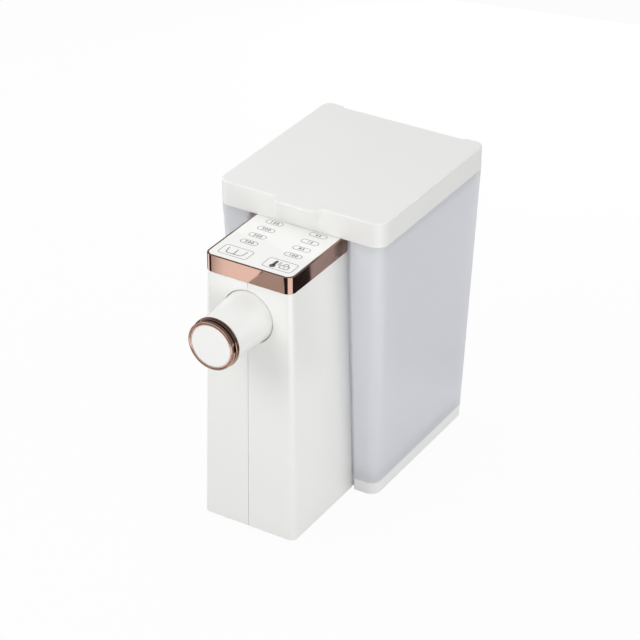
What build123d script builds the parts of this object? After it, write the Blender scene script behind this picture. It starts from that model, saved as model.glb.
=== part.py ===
from build123d import *
import os

os.makedirs("parts", exist_ok=True)

# Instant hot water dispenser: a slim column with the pump, heater and spout, and a lift-off
# water tank behind it. Millimetres, +Z up, the front faces -Y, and the origin is the middle
# of the whole outline on the table.

# Driving dimensions
lid_width = 150
lid_depth = 165
lid_height = 20.8
nose_reach = 124.3
foot_stand = 1.2
column_height = 222.1
band_height = 14.7
column_base_width = 85.5
column_top_width = 77.4
column_base_reach = 77.65
column_top_reach = 72.6
band_proud = 0.75
column_rear_base_setback = 14.4
column_rear_top_setback = 9.8
tank_base_width = 131.8
tank_top_width = 149.6
tank_front_base_setback = 10.4
tank_front_top_setback = 0.3
tank_rear_base_setback = 6.6
tank_rear_top_setback = 0.2
tank_gap = 0.5
channel_side_gap = 2.3
nose_axis_height = 192.3

# Shared fits and walls
seat_gap = 0.3
wall = 2.4
overrun = 6
screw_shank_r = 1.3
screw_head_r = 2.6
screw_head_height = 1.7

# Levels and places worked out from the driving dimensions
column_base_z = foot_stand
column_top_z = column_base_z + column_height
band_top_z = column_top_z + band_height
lid_base_z = band_top_z + seat_gap
lid_top_z = lid_base_z + lid_height
tank_top_z = band_top_z
nose_z = column_base_z + nose_axis_height
nose_tip_y = -(nose_reach + lid_depth) / 2
lid_front_y = nose_tip_y + nose_reach
lid_rear_y = lid_front_y + lid_depth


def between(low, high, share):
    """The value at a share of the way from low to high."""
    return low + (high - low) * share


def tank_half(height):
    share = (height - column_base_z) / (tank_top_z - column_base_z)
    return between(tank_base_width, tank_top_width, share) / 2


def tank_front_y(height):
    share = (height - column_base_z) / (tank_top_z - column_base_z)
    return lid_front_y + between(tank_front_base_setback, tank_front_top_setback, share)


def tank_rear_y(height):
    share = (height - column_base_z) / (tank_top_z - column_base_z)
    return lid_rear_y - between(tank_rear_base_setback, tank_rear_top_setback, share)


def column_half(height):
    share = (height - column_base_z) / column_height
    return between(column_base_width, column_top_width, share) / 2


def column_front_y(height):
    share = (height - column_base_z) / column_height
    return lid_front_y - between(column_base_reach, column_top_reach, share)


def column_rear_y(height):
    share = (height - column_base_z) / (tank_top_z - column_base_z)
    return lid_front_y + between(column_rear_base_setback, column_rear_top_setback, share)


def channel_back_y(height):
    """The back of the upright channel in the tank's front, which the column stands in."""
    return column_rear_y(height) + tank_gap


def upright(x, y, z):
    """A plane whose first axis runs along +X and whose second runs up."""
    return Plane(origin=(x, y, z), x_dir=(1, 0, 0), z_dir=(0, -1, 0))


def turned(profile, plane, mode=Mode.ADD):
    """A solid turned round the plane's second axis from (radius, distance) points."""
    with BuildSketch(plane) as section:
        with BuildLine():
            Polyline(*profile, close=True)
        make_face()
    revolve(section.sketch, axis=Axis(plane.origin, plane.y_dir), mode=mode)


def bar(x_span, y_span, z_span, mode=Mode.ADD):
    """A box between two limits along each axis."""
    x_low, x_high = x_span
    y_low, y_high = y_span
    with BuildSketch(Plane.XY.offset(z_span[0])) as foot:
        with Locations(((x_low + x_high) / 2, (y_low + y_high) / 2)):
            Rectangle(x_high - x_low, y_high - y_low)
    extrude(foot.sketch, amount=z_span[1] - z_span[0], mode=mode)


def rod(x, y, z_span, radius, mode=Mode.ADD):
    """An upright cylinder between two heights."""
    with BuildSketch(Plane.XY.offset(z_span[0])) as foot:
        with Locations((x, y)):
            Circle(radius)
    extrude(foot.sketch, amount=z_span[1] - z_span[0], mode=mode)


def nose_rod(y_span, radius, mode=Mode.ADD, x=0, z=nose_z):
    """A cylinder along the spout's direction between two y places."""
    with BuildSketch(Plane(origin=(x, y_span[0], z), x_dir=(-1, 0, 0), z_dir=(0, 1, 0))) as foot:
        Circle(radius)
    extrude(foot.sketch, amount=y_span[1] - y_span[0], mode=mode)


def side_rod(x_span, y, z, radius, mode=Mode.ADD):
    """A cylinder across the column between two x places."""
    with BuildSketch(Plane(origin=(x_span[0], y, z), x_dir=(0, 1, 0), z_dir=(1, 0, 0))) as foot:
        Circle(radius)
    extrude(foot.sketch, amount=x_span[1] - x_span[0], mode=mode)


def save(piece, name):
    """Label a finished piece and write its file."""
    piece.part.label = name
    export_step(piece.part, f"parts/{name}.step")


# Body column: two half shells that flare towards the table
column_corner = 5.4
column_rear_corner = 1.8
seam_width = 0.4
lip_reach = 3
lip_gap = 0.15
post_r = 3.6
post_inset = 2.6
post_rib = 2
lower_post_height = 26
upper_post_height = 22
base_plate_thickness = 2.4
deck_neck_width = 76


def column_sketch(height, inset):
    half = column_half(height) - inset
    front = column_front_y(height) + inset
    rear = column_rear_y(height) - inset
    with BuildSketch(Plane.XY.offset(height)) as outline:
        with Locations((0, (front + rear) / 2)):
            Rectangle(2 * half, rear - front)
        fillet(outline.vertices().group_by(Axis.Y)[0], max(column_corner - inset, seat_gap))
        fillet(outline.vertices().group_by(Axis.Y)[-1], max(column_rear_corner - inset, seat_gap))
    return outline.sketch


def column_block(low, high, inset, mode=Mode.ADD):
    loft([column_sketch(low, inset), column_sketch(high, inset)], ruled=True, mode=mode)


def column_ring(inset_outer, inset_inner, x_span, z_span):
    """Part of a ring that follows the column's wall, cut to a box."""
    with BuildPart() as ring:
        column_block(z_span[0], z_span[1], inset_outer)
        column_block(z_span[0] - overrun, z_span[1] + overrun, inset_inner, Mode.SUBTRACT)
        bar(x_span, (nose_tip_y, lid_rear_y), z_span, Mode.INTERSECT)
    return ring.part


# Deck level: the tank's raised floor stands on it
tank_floor_height = 16.3
tank_floor_thickness = 2.6
tank_floor_top_z = column_base_z + tank_floor_height
tank_floor_under_z = tank_floor_top_z - tank_floor_thickness
deck_top_z = tank_floor_under_z - seat_gap
base_plate_top_z = column_base_z + base_plate_thickness

# Nose sizes that the shells and the nose share
nose_base_r = 22.2
nose_waist_r = 20.4
nose_end_r = 20
nose_wall = 2.2
nose_flange_r = 25.4
nose_flange_thickness = 2
nose_opening_gap = 0.5
keeper_thickness = 1.8
keeper_height = 18
keeper_bite = 3

# Screw posts at the foot and the top of each shell
lower_post_x = column_base_width / 2 - wall - post_r - post_inset
upper_post_x = column_top_width / 2 - wall - post_r - post_inset
lower_post_ys = (
    column_front_y(column_base_z) + wall + post_r + post_inset,
    column_rear_y(column_base_z) - wall - post_r - post_inset,
)
upper_post_ys = (
    column_front_y(column_top_z) + wall + post_r + post_inset,
    column_rear_y(column_top_z) - wall - post_r - post_inset,
)

# Power board place, which the right shell's stand-offs reach
board_thickness = 1.6
board_x = 25
board_low_z = 74
board_height = 104
board_depth = 50
board_setback = 12
board_front_y = column_front_y(column_top_z) + wall + board_setback
board_screw_inset = 5
standoff_r = 3
board_screw_places = [
    (board_front_y + inset_y, board_low_z + inset_z)
    for inset_y in (board_screw_inset, board_depth - board_screw_inset)
    for inset_z in (board_screw_inset, board_height - board_screw_inset)
]

# Heater place, which the left shell's clip pads reach
heater_r = 15
heater_x = -14
heater_setback = 36
heater_y = column_front_y(column_top_z) + wall + heater_setback
heater_low_z = 104
heater_length = 58
heater_wall = 1
clip_width = 9
clip_thickness = 1.6
clip_share = 0.17
clip_pad_r = 4.5
clip_zs = (
    heater_low_z + heater_length * clip_share,
    heater_low_z + heater_length * (1 - clip_share),
)
clip_foot_x = heater_x - heater_r - seat_gap - clip_thickness
wall_bite = 1


def column_half_shell(side):
    """side is -1 for the left shell and 1 for the right one."""
    with BuildPart() as shell:
        column_block(column_base_z, column_top_z, 0)
        column_block(column_base_z - overrun, column_top_z + overrun, wall, Mode.SUBTRACT)
        split(bisect_by=Plane.YZ.offset(side * seam_width / 2), keep=Keep.TOP if side > 0 else Keep.BOTTOM)
        # Screw posts with a rib to the side wall
        for x, ys, z_span in (
            (lower_post_x, lower_post_ys, (base_plate_top_z, base_plate_top_z + lower_post_height)),
            (upper_post_x, upper_post_ys, (column_top_z - upper_post_height, column_top_z)),
        ):
            wall_x = min(column_half(z_span[0]), column_half(z_span[1])) - wall + wall_bite
            for y in ys:
                rod(side * x, y, z_span, post_r)
                rib_span = sorted((side * x, side * wall_x))
                bar(rib_span, (y - post_rib / 2, y + post_rib / 2), z_span)
                rod(side * x, y, (z_span[0] - overrun, z_span[1] + overrun), screw_shank_r, Mode.SUBTRACT)
        # Keeper that traps the nose flange behind the front wall
        keeper_front = (
            column_front_y(nose_z + keeper_height / 2) + wall + 2 * seat_gap + nose_flange_thickness
        )
        keeper_wall_x = column_half(nose_z + keeper_height) - wall + wall_bite
        bar(
            sorted((side * (nose_flange_r - keeper_bite), side * keeper_wall_x)),
            (keeper_front, keeper_front + keeper_thickness),
            (nose_z - keeper_height / 2, nose_z + keeper_height / 2),
        )
        # Round opening for the nose, and the low opening that the deck's neck passes
        nose_rod(
            (nose_tip_y, column_front_y(nose_z) + 2 * wall), nose_base_r + nose_opening_gap, Mode.SUBTRACT
        )
        bar(
            (-deck_neck_width / 2 - seat_gap, deck_neck_width / 2 + seat_gap),
            (column_rear_y(column_base_z) - 2 * wall, lid_rear_y),
            (column_base_z - overrun, deck_top_z + seat_gap),
            Mode.SUBTRACT,
        )
        # The left shell's lip laps behind the right shell's rebated edge
        lip_low = base_plate_top_z + lower_post_height
        if side < 0:
            lip = column_ring(
                wall / 2 + lip_gap, wall, (-lip_reach, lip_reach), (lip_low, nose_z - nose_flange_r - post_r)
            )
            add(lip)
        else:
            rebate = column_ring(
                wall / 2,
                wall + overrun,
                (0, lip_reach + seam_width),
                (lip_low - seat_gap, nose_z - nose_flange_r - post_r + seat_gap),
            )
            add(rebate, mode=Mode.SUBTRACT)
        # Stand-offs for the power board, or pads for the heater clips
        if side > 0:
            for y, z in board_screw_places:
                pad_end = column_half(z) - wall + wall_bite
                side_rod((board_x + board_thickness, pad_end), y, z, standoff_r)
                side_rod((board_x - overrun, pad_end - wall_bite), y, z, screw_shank_r, Mode.SUBTRACT)
        else:
            for z in clip_zs:
                pad_end = -(column_half(z) - wall + wall_bite)
                side_rod((pad_end, clip_foot_x), heater_y, z, clip_pad_r)
    return shell


body_shell_left = column_half_shell(-1)
save(body_shell_left, "body_shell_left")
body_shell_right = column_half_shell(1)
save(body_shell_right, "body_shell_right")

# Base plate: floor of the column and of the tongue that reaches under the tank
tongue_side_gap = 1.6
tongue_rear_gap = 5
tongue_corner = 8
screw_gap = 0.3
foot_r = 7
foot_recess = 0.9
foot_front_inset = 15
foot_tongue_inset = 14
tongue_front_y = channel_back_y(column_base_z) + wall + tongue_side_gap
tongue_rear_y = tank_rear_y(column_base_z) - wall - tongue_rear_gap
tongue_half = tank_half(column_base_z) - wall - tongue_side_gap
neck_half = deck_neck_width / 2 - tongue_side_gap
saddle_rib = 2

# Pump place, which the base plate's saddles carry
pump_r = 13.5
pump_head_r = 15
pump_clear = 1.5
pump_axis_z = base_plate_top_z + pump_head_r + pump_clear
pump_setback = 8
pump_y = column_front_y(column_base_z) + wall + pump_setback
pump_motor_length = 30
pump_head_length = 10
pump_cover_thickness = 2.5
pump_pipe_length = 5
impeller_r = 10.5
impeller_gap = 0.8
pump_shaft_r = 1.5

front_foot_x = column_base_width / 2 - wall - foot_front_inset
front_foot_y = column_front_y(column_base_z) + wall + foot_front_inset
rear_foot_x = tongue_half - foot_tongue_inset
rear_foot_y = tongue_rear_y - foot_tongue_inset
foot_places = [
    (side * x, y)
    for x, y in ((front_foot_x, front_foot_y), (rear_foot_x, rear_foot_y))
    for side in (-1, 1)
]
lower_post_places = [(side * lower_post_x, y) for side in (-1, 1) for y in lower_post_ys]
deck_boss_r = 4
deck_boss_inset = 10
deck_boss_places = [
    (side * (tongue_half - deck_boss_inset), y)
    for side in (-1, 1)
    for y in (tongue_front_y + deck_boss_inset, tongue_rear_y - 3 * deck_boss_inset)
]


def tongue_sketch(height, inset):
    """The tongue under the tank and its narrower neck into the column."""
    neck_front = column_rear_y(column_base_z) - wall - post_inset + inset
    with BuildSketch(Plane.XY.offset(height)) as outline:
        with Locations((0, (tongue_front_y + tongue_rear_y) / 2)):
            RectangleRounded(
                2 * (tongue_half - inset), tongue_rear_y - tongue_front_y - 2 * inset, tongue_corner - inset
            )
        with Locations((0, (neck_front + tongue_front_y) / 2 + inset)):
            Rectangle(2 * (neck_half - inset), tongue_front_y - neck_front + 2 * inset)
    return outline.sketch


with BuildPart() as base_plate:
    column_block(column_base_z, base_plate_top_z, wall + seat_gap)
    extrude(tongue_sketch(column_base_z, 0), amount=base_plate_thickness)
    # Saddles under the pump
    for y in (pump_y + pump_motor_length / 4, pump_y + pump_motor_length * 3 / 4):
        bar(
            (-pump_r, pump_r),
            (y - saddle_rib / 2, y + saddle_rib / 2),
            (base_plate_top_z, pump_axis_z - pump_r / 2),
        )
    nose_rod((pump_y, pump_y + pump_motor_length), pump_r + seat_gap, Mode.SUBTRACT, z=pump_axis_z)
    # Feet recesses, and counterbored holes for the screws into the posts and bosses
    head_seat_z = column_base_z + screw_head_height
    for x, y in foot_places:
        rod(x, y, (column_base_z - overrun, column_base_z + foot_recess), foot_r + seat_gap, Mode.SUBTRACT)
    for x, y in lower_post_places + deck_boss_places:
        for r, top_z in ((screw_shank_r, base_plate_top_z + overrun), (screw_head_r, head_seat_z)):
            rod(x, y, (column_base_z - overrun, top_z), r + screw_gap, Mode.SUBTRACT)
save(base_plate, "base_plate")

# Rubber feet: low turned pads with a softened rim
foot_rim = 0.6
with BuildPart() as rubber_feet:
    for x, y in foot_places:
        turned(
            [
                (0, 0), (foot_r - foot_rim, 0), (foot_r, foot_rim),
                (foot_r, foot_stand + foot_recess), (0, foot_stand + foot_recess),
            ],
            upright(x, y, 0),
        )
save(rubber_feet, "rubber_feet")

# Base screws: pan heads in the base plate's counterbores
base_screw_length = 12
screw_recess_r = 1.2
screw_recess_depth = 0.8


def screw(plane, length):
    """A pan-head screw whose shank runs along the plane's second axis from its head."""
    recess_floor = screw_recess_depth - screw_head_height
    turned(
        [
            (0, recess_floor), (screw_recess_r, recess_floor), (screw_recess_r, -screw_head_height),
            (screw_head_r * 3 / 4, -screw_head_height), (screw_head_r, -screw_head_height / 2),
            (screw_head_r, 0), (screw_shank_r, 0), (screw_shank_r, length), (0, length),
        ],
        plane,
    )


with BuildPart() as base_screws:
    for x, y in lower_post_places:
        screw(upright(x, y, head_seat_z), base_screw_length)
    for x, y in deck_boss_places:
        screw(upright(x, y, head_seat_z), deck_top_z - wall - head_seat_z)
save(base_screws, "base_screws")

# Tank deck: an inverted tray on the tongue, with the hole for the tank's socket
deck_wall = 2.2
socket_r = 14
socket_setback = 20
socket_y = tongue_front_y + socket_setback
bush_flange_r = 5.4
bush_neck_r = 3.7
bush_snap = 0.5
bush_fit = 0.1
bush_z = (base_plate_top_z + deck_top_z - deck_wall) / 2

with BuildPart() as tank_deck:
    extrude(tongue_sketch(base_plate_top_z, 0), amount=deck_top_z - base_plate_top_z)
    extrude(
        tongue_sketch(base_plate_top_z - overrun, deck_wall),
        amount=deck_top_z - deck_wall - base_plate_top_z + overrun,
        mode=Mode.SUBTRACT,
    )
    for x, y in deck_boss_places:
        rod(x, y, (base_plate_top_z, deck_top_z), deck_boss_r)
        rod(x, y, (base_plate_top_z - overrun, deck_top_z - wall), screw_shank_r, Mode.SUBTRACT)
    # The neck is open towards the column for the hose and the leads
    bar(
        (-neck_half + deck_wall, neck_half - deck_wall),
        (column_front_y(column_base_z), tongue_front_y),
        (base_plate_top_z - overrun, deck_top_z - deck_wall),
        Mode.SUBTRACT,
    )
    rod(0, socket_y, (base_plate_top_z, deck_top_z + overrun), socket_r + seat_gap, Mode.SUBTRACT)
    # Round opening at the rear for the cord's bush
    nose_rod((tongue_rear_y - 2 * deck_wall, lid_rear_y), bush_neck_r + bush_fit, Mode.SUBTRACT, z=bush_z)
save(tank_deck, "tank_deck")

# Cord bush: a snap-in grommet through the deck's rear wall
bush_flange = 1.2
bush_bore_r = 2.8
with BuildPart() as cord_bush:
    bush_out = deck_wall + bush_fit
    turned(
        [
            (bush_bore_r, -bush_flange - bush_fit), (bush_neck_r, -bush_flange - bush_fit),
            (bush_neck_r + bush_snap, -bush_fit), (bush_neck_r, -bush_fit), (bush_neck_r, bush_out),
            (bush_flange_r, bush_out), (bush_flange_r, bush_out + bush_flange / 2),
            (bush_flange_r - bush_flange / 2, bush_out + bush_flange), (bush_bore_r, bush_out + bush_flange),
        ],
        Plane((0, tongue_rear_y - deck_wall, bush_z)),
    )
save(cord_bush, "cord_bush")

# Tank socket: the cup that the tank's valve drops into, with the pin that opens it
socket_wall = 2
socket_floor = 2
socket_pin_r = 2
spigot_r = 2.6
spigot_bore_r = 1.7
spigot_length = 9
hose_slip = 0.1
hose_bore_r = spigot_r + hose_slip
hose_r = 4.1
socket_top_z = deck_top_z
socket_base_z = base_plate_top_z + seat_gap
socket_inner_r = socket_r - socket_wall
socket_spigot_z = (base_plate_top_z + deck_top_z - deck_wall) / 2
plunger_reach = 2.4
plunger_tip_z = tank_floor_under_z - plunger_reach

with BuildPart() as tank_socket:
    rod(0, socket_y, (socket_base_z, socket_top_z), socket_r)
    rod(0, socket_y, (socket_base_z + socket_floor, socket_top_z + overrun), socket_inner_r, Mode.SUBTRACT)
    rod(0, socket_y, (socket_base_z, plunger_tip_z), socket_pin_r)
    nose_rod(
        (socket_y - socket_r - spigot_length, socket_y - socket_inner_r - socket_wall / 2), spigot_r,
        z=socket_spigot_z,
    )
    nose_rod(
        (socket_y - socket_r - spigot_length - overrun, socket_y - socket_inner_r + socket_wall / 2),
        spigot_bore_r, Mode.SUBTRACT, z=socket_spigot_z,
    )
save(tank_socket, "tank_socket")

# Tank: a tapered clear moulding with a channel for the column, a raised floor, a skirt and an
# arch for the cord
tank_corner = 9
tank_rear_corner = 7
channel_half = column_base_width / 2 + channel_side_gap
channel_lip_corner = wall
channel_corner = 1
floor_fillet = 5
skirt_slot_gap = 1.5
cord_slot_half = 8
arch_half = 15
arch_top_half = 7
arch_height = 11
arch_length = 34
valve_hole_r = 8.2


def tank_sketch(height, inset):
    """The tank's outline, whose lips beside the column turn sharp on their inner face."""
    half = tank_half(height) - inset
    front, rear = tank_front_y(height) + inset, tank_rear_y(height) - inset
    channel_x, channel_y = channel_half + inset, channel_back_y(height) + inset
    right_side = [(channel_x, channel_y), (channel_x, front), (half, front), (half, rear)]
    left_side = [(-x, y) for x, y in reversed(right_side)]
    with BuildSketch(Plane.XY.offset(height)) as outline:
        with BuildLine():
            Polyline(*right_side, *left_side, close=True)
        make_face()
        fillet(outline.vertices().group_by(Axis.Y)[-1], tank_rear_corner - inset)
        fillet(outline.vertices().group_by(Axis.Y)[1], channel_corner + inset)
        front_corners = outline.vertices().group_by(Axis.Y)[0].sort_by(Axis.X)
        fillet([front_corners[0], front_corners[-1]], tank_corner - inset)
        if channel_lip_corner > inset:
            lips = outline.vertices().group_by(Axis.Y)[0].sort_by(Axis.X)[1:3]
            fillet(lips, channel_lip_corner - inset)
    return outline.sketch


def tank_block(low, high, inset, mode=Mode.ADD):
    loft([tank_sketch(low, inset), tank_sketch(high, inset)], ruled=True, mode=mode)


def arch_block(inset, low_z, y_span, mode):
    """The cord arch: two S-shaped flanks that rise to a flat crown."""
    foot_z = tank_floor_top_z - inset
    crown_z = tank_floor_top_z + arch_height - inset
    half, crown_half = arch_half - inset, arch_top_half - inset / 2
    middle = ((half + crown_half) / 2, (foot_z + crown_z) / 2)
    with BuildSketch(Plane(origin=(0, y_span[0], 0), x_dir=(-1, 0, 0), z_dir=(0, 1, 0))) as section:
        with BuildLine():
            Line((-half, low_z), (half, low_z))
            Line((half, low_z), (half, foot_z))
            TangentArc((half, foot_z), middle, tangent=(-1, 0))
            TangentArc((crown_half, crown_z), middle, tangent=(1, 0))
            Line((crown_half, crown_z), (-crown_half, crown_z))
            TangentArc((-crown_half, crown_z), (-middle[0], middle[1]), tangent=(-1, 0))
            TangentArc((-half, foot_z), (-middle[0], middle[1]), tangent=(1, 0))
            Line((-half, foot_z), (-half, low_z))
        make_face()
    extrude(section.sketch, amount=y_span[1] - y_span[0], mode=mode)


with BuildPart() as tank:
    tank_block(column_base_z, tank_top_z, 0)
    tank_block(tank_floor_top_z, tank_top_z, wall, Mode.SUBTRACT)
    floor_edges = tank.edges().filter_by_position(
        Axis.Z, tank_floor_top_z - seat_gap / 2, tank_floor_top_z + seat_gap / 2
    )
    fillet(floor_edges, floor_fillet)
    arch_rear_y = tank_rear_y(tank_floor_top_z) - wall / 2
    arch_block(0, tank_floor_under_z, (arch_rear_y - arch_length, arch_rear_y), Mode.ADD)
    tank_block(column_base_z - overrun, tank_floor_under_z, wall, Mode.SUBTRACT)
    arch_block(
        tank_floor_thickness, column_base_z, (arch_rear_y - arch_length + wall, arch_rear_y - wall / 2),
        Mode.SUBTRACT,
    )
    # Slots in the skirt for the deck's neck and for the cord
    bar(
        (-deck_neck_width / 2 - skirt_slot_gap, deck_neck_width / 2 + skirt_slot_gap),
        (lid_front_y, channel_back_y(column_base_z) + 2 * wall),
        (column_base_z - overrun, tank_floor_under_z),
        Mode.SUBTRACT,
    )
    bar(
        (-cord_slot_half, cord_slot_half),
        (tank_rear_y(column_base_z) - 2 * wall, lid_rear_y),
        (column_base_z - overrun, tank_floor_under_z),
        Mode.SUBTRACT,
    )
    rod(0, socket_y, (tank_floor_under_z - overrun, tank_floor_top_z + overrun), valve_hole_r, Mode.SUBTRACT)
save(tank, "tank")

# Tank valve: a body through the tank's floor, held by a nut inside the tank
valve_body_r = 10
valve_seal_groove = 1.2
valve_seal_width = 2.6
valve_bore_r = 5
valve_seat_r = 3
valve_neck_r = valve_hole_r - seat_gap
valve_reach = 6.6
valve_wall = 1.5
valve_low_z = tank_floor_under_z - valve_reach
valve_flange_z = tank_floor_under_z - seat_gap / 2
seat_depth = 1
seat_z = tank_floor_under_z - seat_depth
nut_thickness = 3
nut_r = 12.5
valve_neck_rise = 4
valve_top_z = tank_floor_top_z + nut_thickness + valve_neck_rise
seal_middle_z = valve_low_z + valve_reach / 2

with BuildPart() as valve_body:
    turned(
        [
            (valve_seat_r, seat_z), (valve_seat_r, valve_low_z + valve_wall), (valve_bore_r, valve_low_z),
            (valve_body_r, valve_low_z), (valve_body_r, seal_middle_z - valve_seal_width / 2),
            (valve_body_r - valve_seal_groove, seal_middle_z - valve_seal_width / 2),
            (valve_body_r - valve_seal_groove, seal_middle_z + valve_seal_width / 2),
            (valve_body_r, seal_middle_z + valve_seal_width / 2), (valve_body_r, valve_flange_z),
            (valve_neck_r, valve_flange_z), (valve_neck_r, valve_top_z),
            (valve_neck_r - valve_wall, valve_top_z), (valve_neck_r - valve_wall, seat_z),
        ],
        upright(0, socket_y, 0),
    )
save(valve_body, "valve_body")

# Valve nut: a six-sided ring on the valve body inside the tank
with BuildPart() as valve_nut:
    with BuildSketch(Plane.XY.offset(tank_floor_top_z + seat_gap / 2)):
        with Locations((0, socket_y)):
            RegularPolygon(nut_r, 6)
            Circle(valve_neck_r + seat_gap / 2, mode=Mode.SUBTRACT)
    extrude(amount=nut_thickness)
save(valve_nut, "valve_nut")

# Valve plunger: its stem rests on the socket's pin, which holds the disc off the seat
valve_lift = 2.6
plunger_disc_r = 4.6
plunger_disc_thickness = 1.6
plunger_stem_r = 1.6
plunger_guide_r = 1.4
plunger_guide_height = 7
plunger_disc_z = seat_z + valve_lift
with BuildPart() as valve_plunger:
    turned(
        [
            (0, plunger_tip_z), (plunger_stem_r, plunger_tip_z), (plunger_stem_r, plunger_disc_z),
            (plunger_disc_r, plunger_disc_z), (plunger_disc_r, plunger_disc_z + plunger_disc_thickness),
            (plunger_guide_r, plunger_disc_z + plunger_disc_thickness),
            (plunger_guide_r, plunger_disc_z + plunger_guide_height),
            (0, plunger_disc_z + plunger_guide_height),
        ],
        upright(0, socket_y, 0),
    )
save(valve_plunger, "valve_plunger")

# Valve seal: a rubber ring in the valve body's groove, with a lip close to the socket's wall
seal_lip_share = 0.3
with BuildPart() as valve_seal:
    seal_inner_r = valve_body_r - valve_seal_groove
    seal_half = (valve_seal_width - seat_gap) / 2
    seal_lip_half = seal_half * seal_lip_share
    turned(
        [
            (seal_inner_r, -seal_half), (valve_body_r, -seal_half),
            (socket_inner_r - seat_gap, -seal_lip_half), (socket_inner_r - seat_gap, seal_lip_half),
            (valve_body_r, seal_half), (seal_inner_r, seal_half),
        ],
        upright(0, socket_y, seal_middle_z),
    )
save(valve_seal, "valve_seal")

# Filter cap: a slotted cup over the valve inside the tank
filter_r = 15.5
filter_wall = 1.2
filter_height = 13
filter_slot_width = 1.4
filter_slots = 16
filter_slot_share = 0.55
filter_base_z = tank_floor_top_z + seat_gap / 2
filter_inner_r = filter_r - filter_wall
with BuildPart() as filter_cap:
    turned(
        [
            (0, filter_height), (filter_inner_r, filter_height), (filter_r, filter_height - filter_wall),
            (filter_r, 0), (filter_inner_r, 0), (filter_inner_r, filter_height - filter_wall),
            (0, filter_height - filter_wall),
        ],
        upright(0, socket_y, filter_base_z),
    )
    slot_low_z = filter_base_z + (filter_height - filter_height * filter_slot_share) / 2
    with BuildSketch(Plane.XY.offset(slot_low_z)) as slots:
        with Locations((0, socket_y)):
            with PolarLocations(filter_r, filter_slots):
                Rectangle(3 * filter_wall, filter_slot_width)
    extrude(slots.sketch, amount=filter_height * filter_slot_share, mode=Mode.SUBTRACT)
save(filter_cap, "filter_cap")


def spring_coil(base, along, mean_r, wire_r, length, turns):
    """A compression spring that fills a length from its base, one unbroken wire."""
    rise = length - 2 * wire_r
    start_z = Vector(*base) + Vector(*along) * wire_r
    with BuildLine() as route:
        Helix(pitch=rise / turns, height=rise, radius=mean_r, center=start_z, direction=along)
    with BuildSketch(Plane(origin=route.line @ 0, z_dir=route.line % 0)) as wire:
        Circle(wire_r)
    sweep(wire.sketch, path=route.line, is_frenet=True)


valve_spring_r = 3.2
valve_spring_wire_r = 0.35
valve_spring_turns = 5
valve_spring_low_z = plunger_disc_z + plunger_disc_thickness
valve_spring_top_z = filter_base_z + filter_height - filter_wall
with BuildPart() as valve_spring:
    spring_coil(
        (0, socket_y, valve_spring_low_z), (0, 0, 1), valve_spring_r, valve_spring_wire_r,
        valve_spring_top_z - valve_spring_low_z, valve_spring_turns,
    )
save(valve_spring, "valve_spring")

# Lid: a shallow cap with a finger lip in front and a shallow recess along its rear edge
lid_corner = 10
lid_rear_corner = 7.5
lid_edge = 1.2
lip_depth = 8
lip_half_foot = 23.5
lip_half_crest = 14.5
lip_root_reach = 0.4
recess_depth = 2.5
recess_half = 55.5
recess_half_ear = 59


def lid_sketch(height, inset):
    """The lid's outline; the steps of its rear recess are S-curves."""
    half = lid_width / 2 - inset
    front = lid_front_y + inset
    ear = lid_rear_y - inset
    hollow = lid_rear_y - recess_depth - inset
    corner, rear_corner = lid_corner - inset, lid_rear_corner - inset
    flank = ((recess_half + recess_half_ear) / 2, (ear + hollow) / 2)
    with BuildSketch(Plane.XY.offset(height)) as outline:
        with BuildLine():
            for side in (-1, 1):
                Line((0, front), (side * (half - corner), front))
                TangentArc((side * (half - corner), front), (side * half, front + corner), tangent=(side, 0))
                ear_side, ear_end = (side * half, ear - rear_corner), (side * (half - rear_corner), ear)
                Line((side * half, front + corner), ear_side)
                TangentArc(ear_side, ear_end, tangent=(0, 1))
                Line(ear_end, (side * recess_half_ear, ear))
                TangentArc((side * recess_half_ear, ear), (side * flank[0], flank[1]), tangent=(-side, 0))
                TangentArc((side * recess_half, hollow), (side * flank[0], flank[1]), tangent=(side, 0))
                Line((side * recess_half, hollow), (0, hollow))
        make_face()
    return outline.sketch


def lip_sketch(height, reach, inset):
    """The finger lip's outline at one height; its flanks are ogee curves."""
    root = lid_front_y + wall + lid_edge
    foot, crest = lip_half_foot - inset, lip_half_crest - inset
    middle = ((foot + crest) / 2, lid_front_y - reach / 2)
    with BuildSketch(Plane.XY.offset(height)) as outline:
        with BuildLine():
            for side in (-1, 1):
                crest_end, flank = (side * crest, lid_front_y - reach), (side * middle[0], middle[1])
                Line((0, lid_front_y - reach), crest_end)
                TangentArc(crest_end, flank, tangent=(side, 0))
                TangentArc((side * foot, lid_front_y), flank, tangent=(-side, 0))
                Line((side * foot, lid_front_y), (side * foot, root))
                Line((side * foot, root), (0, root))
        make_face()
    return outline.sketch


with BuildPart() as lid_shell:
    extrude(lid_sketch(lid_base_z, 0), amount=lid_height)
    loft(
        [lip_sketch(lid_base_z, lip_root_reach, 0), lip_sketch(lid_top_z, lip_depth, 0)],
        ruled=True,
    )
    fillet(lid_shell.edges().group_by(Axis.Z)[-1], lid_edge)
    extrude(lid_sketch(lid_base_z - overrun, wall), amount=lid_height - wall + overrun, mode=Mode.SUBTRACT)
save(lid_shell, "lid_shell")

# Lid base: the plate that closes the cap from below, with a plug into the tank
lid_base_thickness = 2.2
plug_depth = 8
plug_wall = 2.2
plug_gap = 1.6
gasket_groove = 0.9
gasket_width = 3.4
gasket_height_share = 0.5
gasket_z = lid_base_z - plug_depth * gasket_height_share
lid_rib_thickness = 1.6


def plug_sketch(height, inset):
    """An outline at one height that follows the tank's mouth."""
    return Pos(0, 0, height - tank_top_z) * tank_sketch(tank_top_z, wall + inset)


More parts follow.
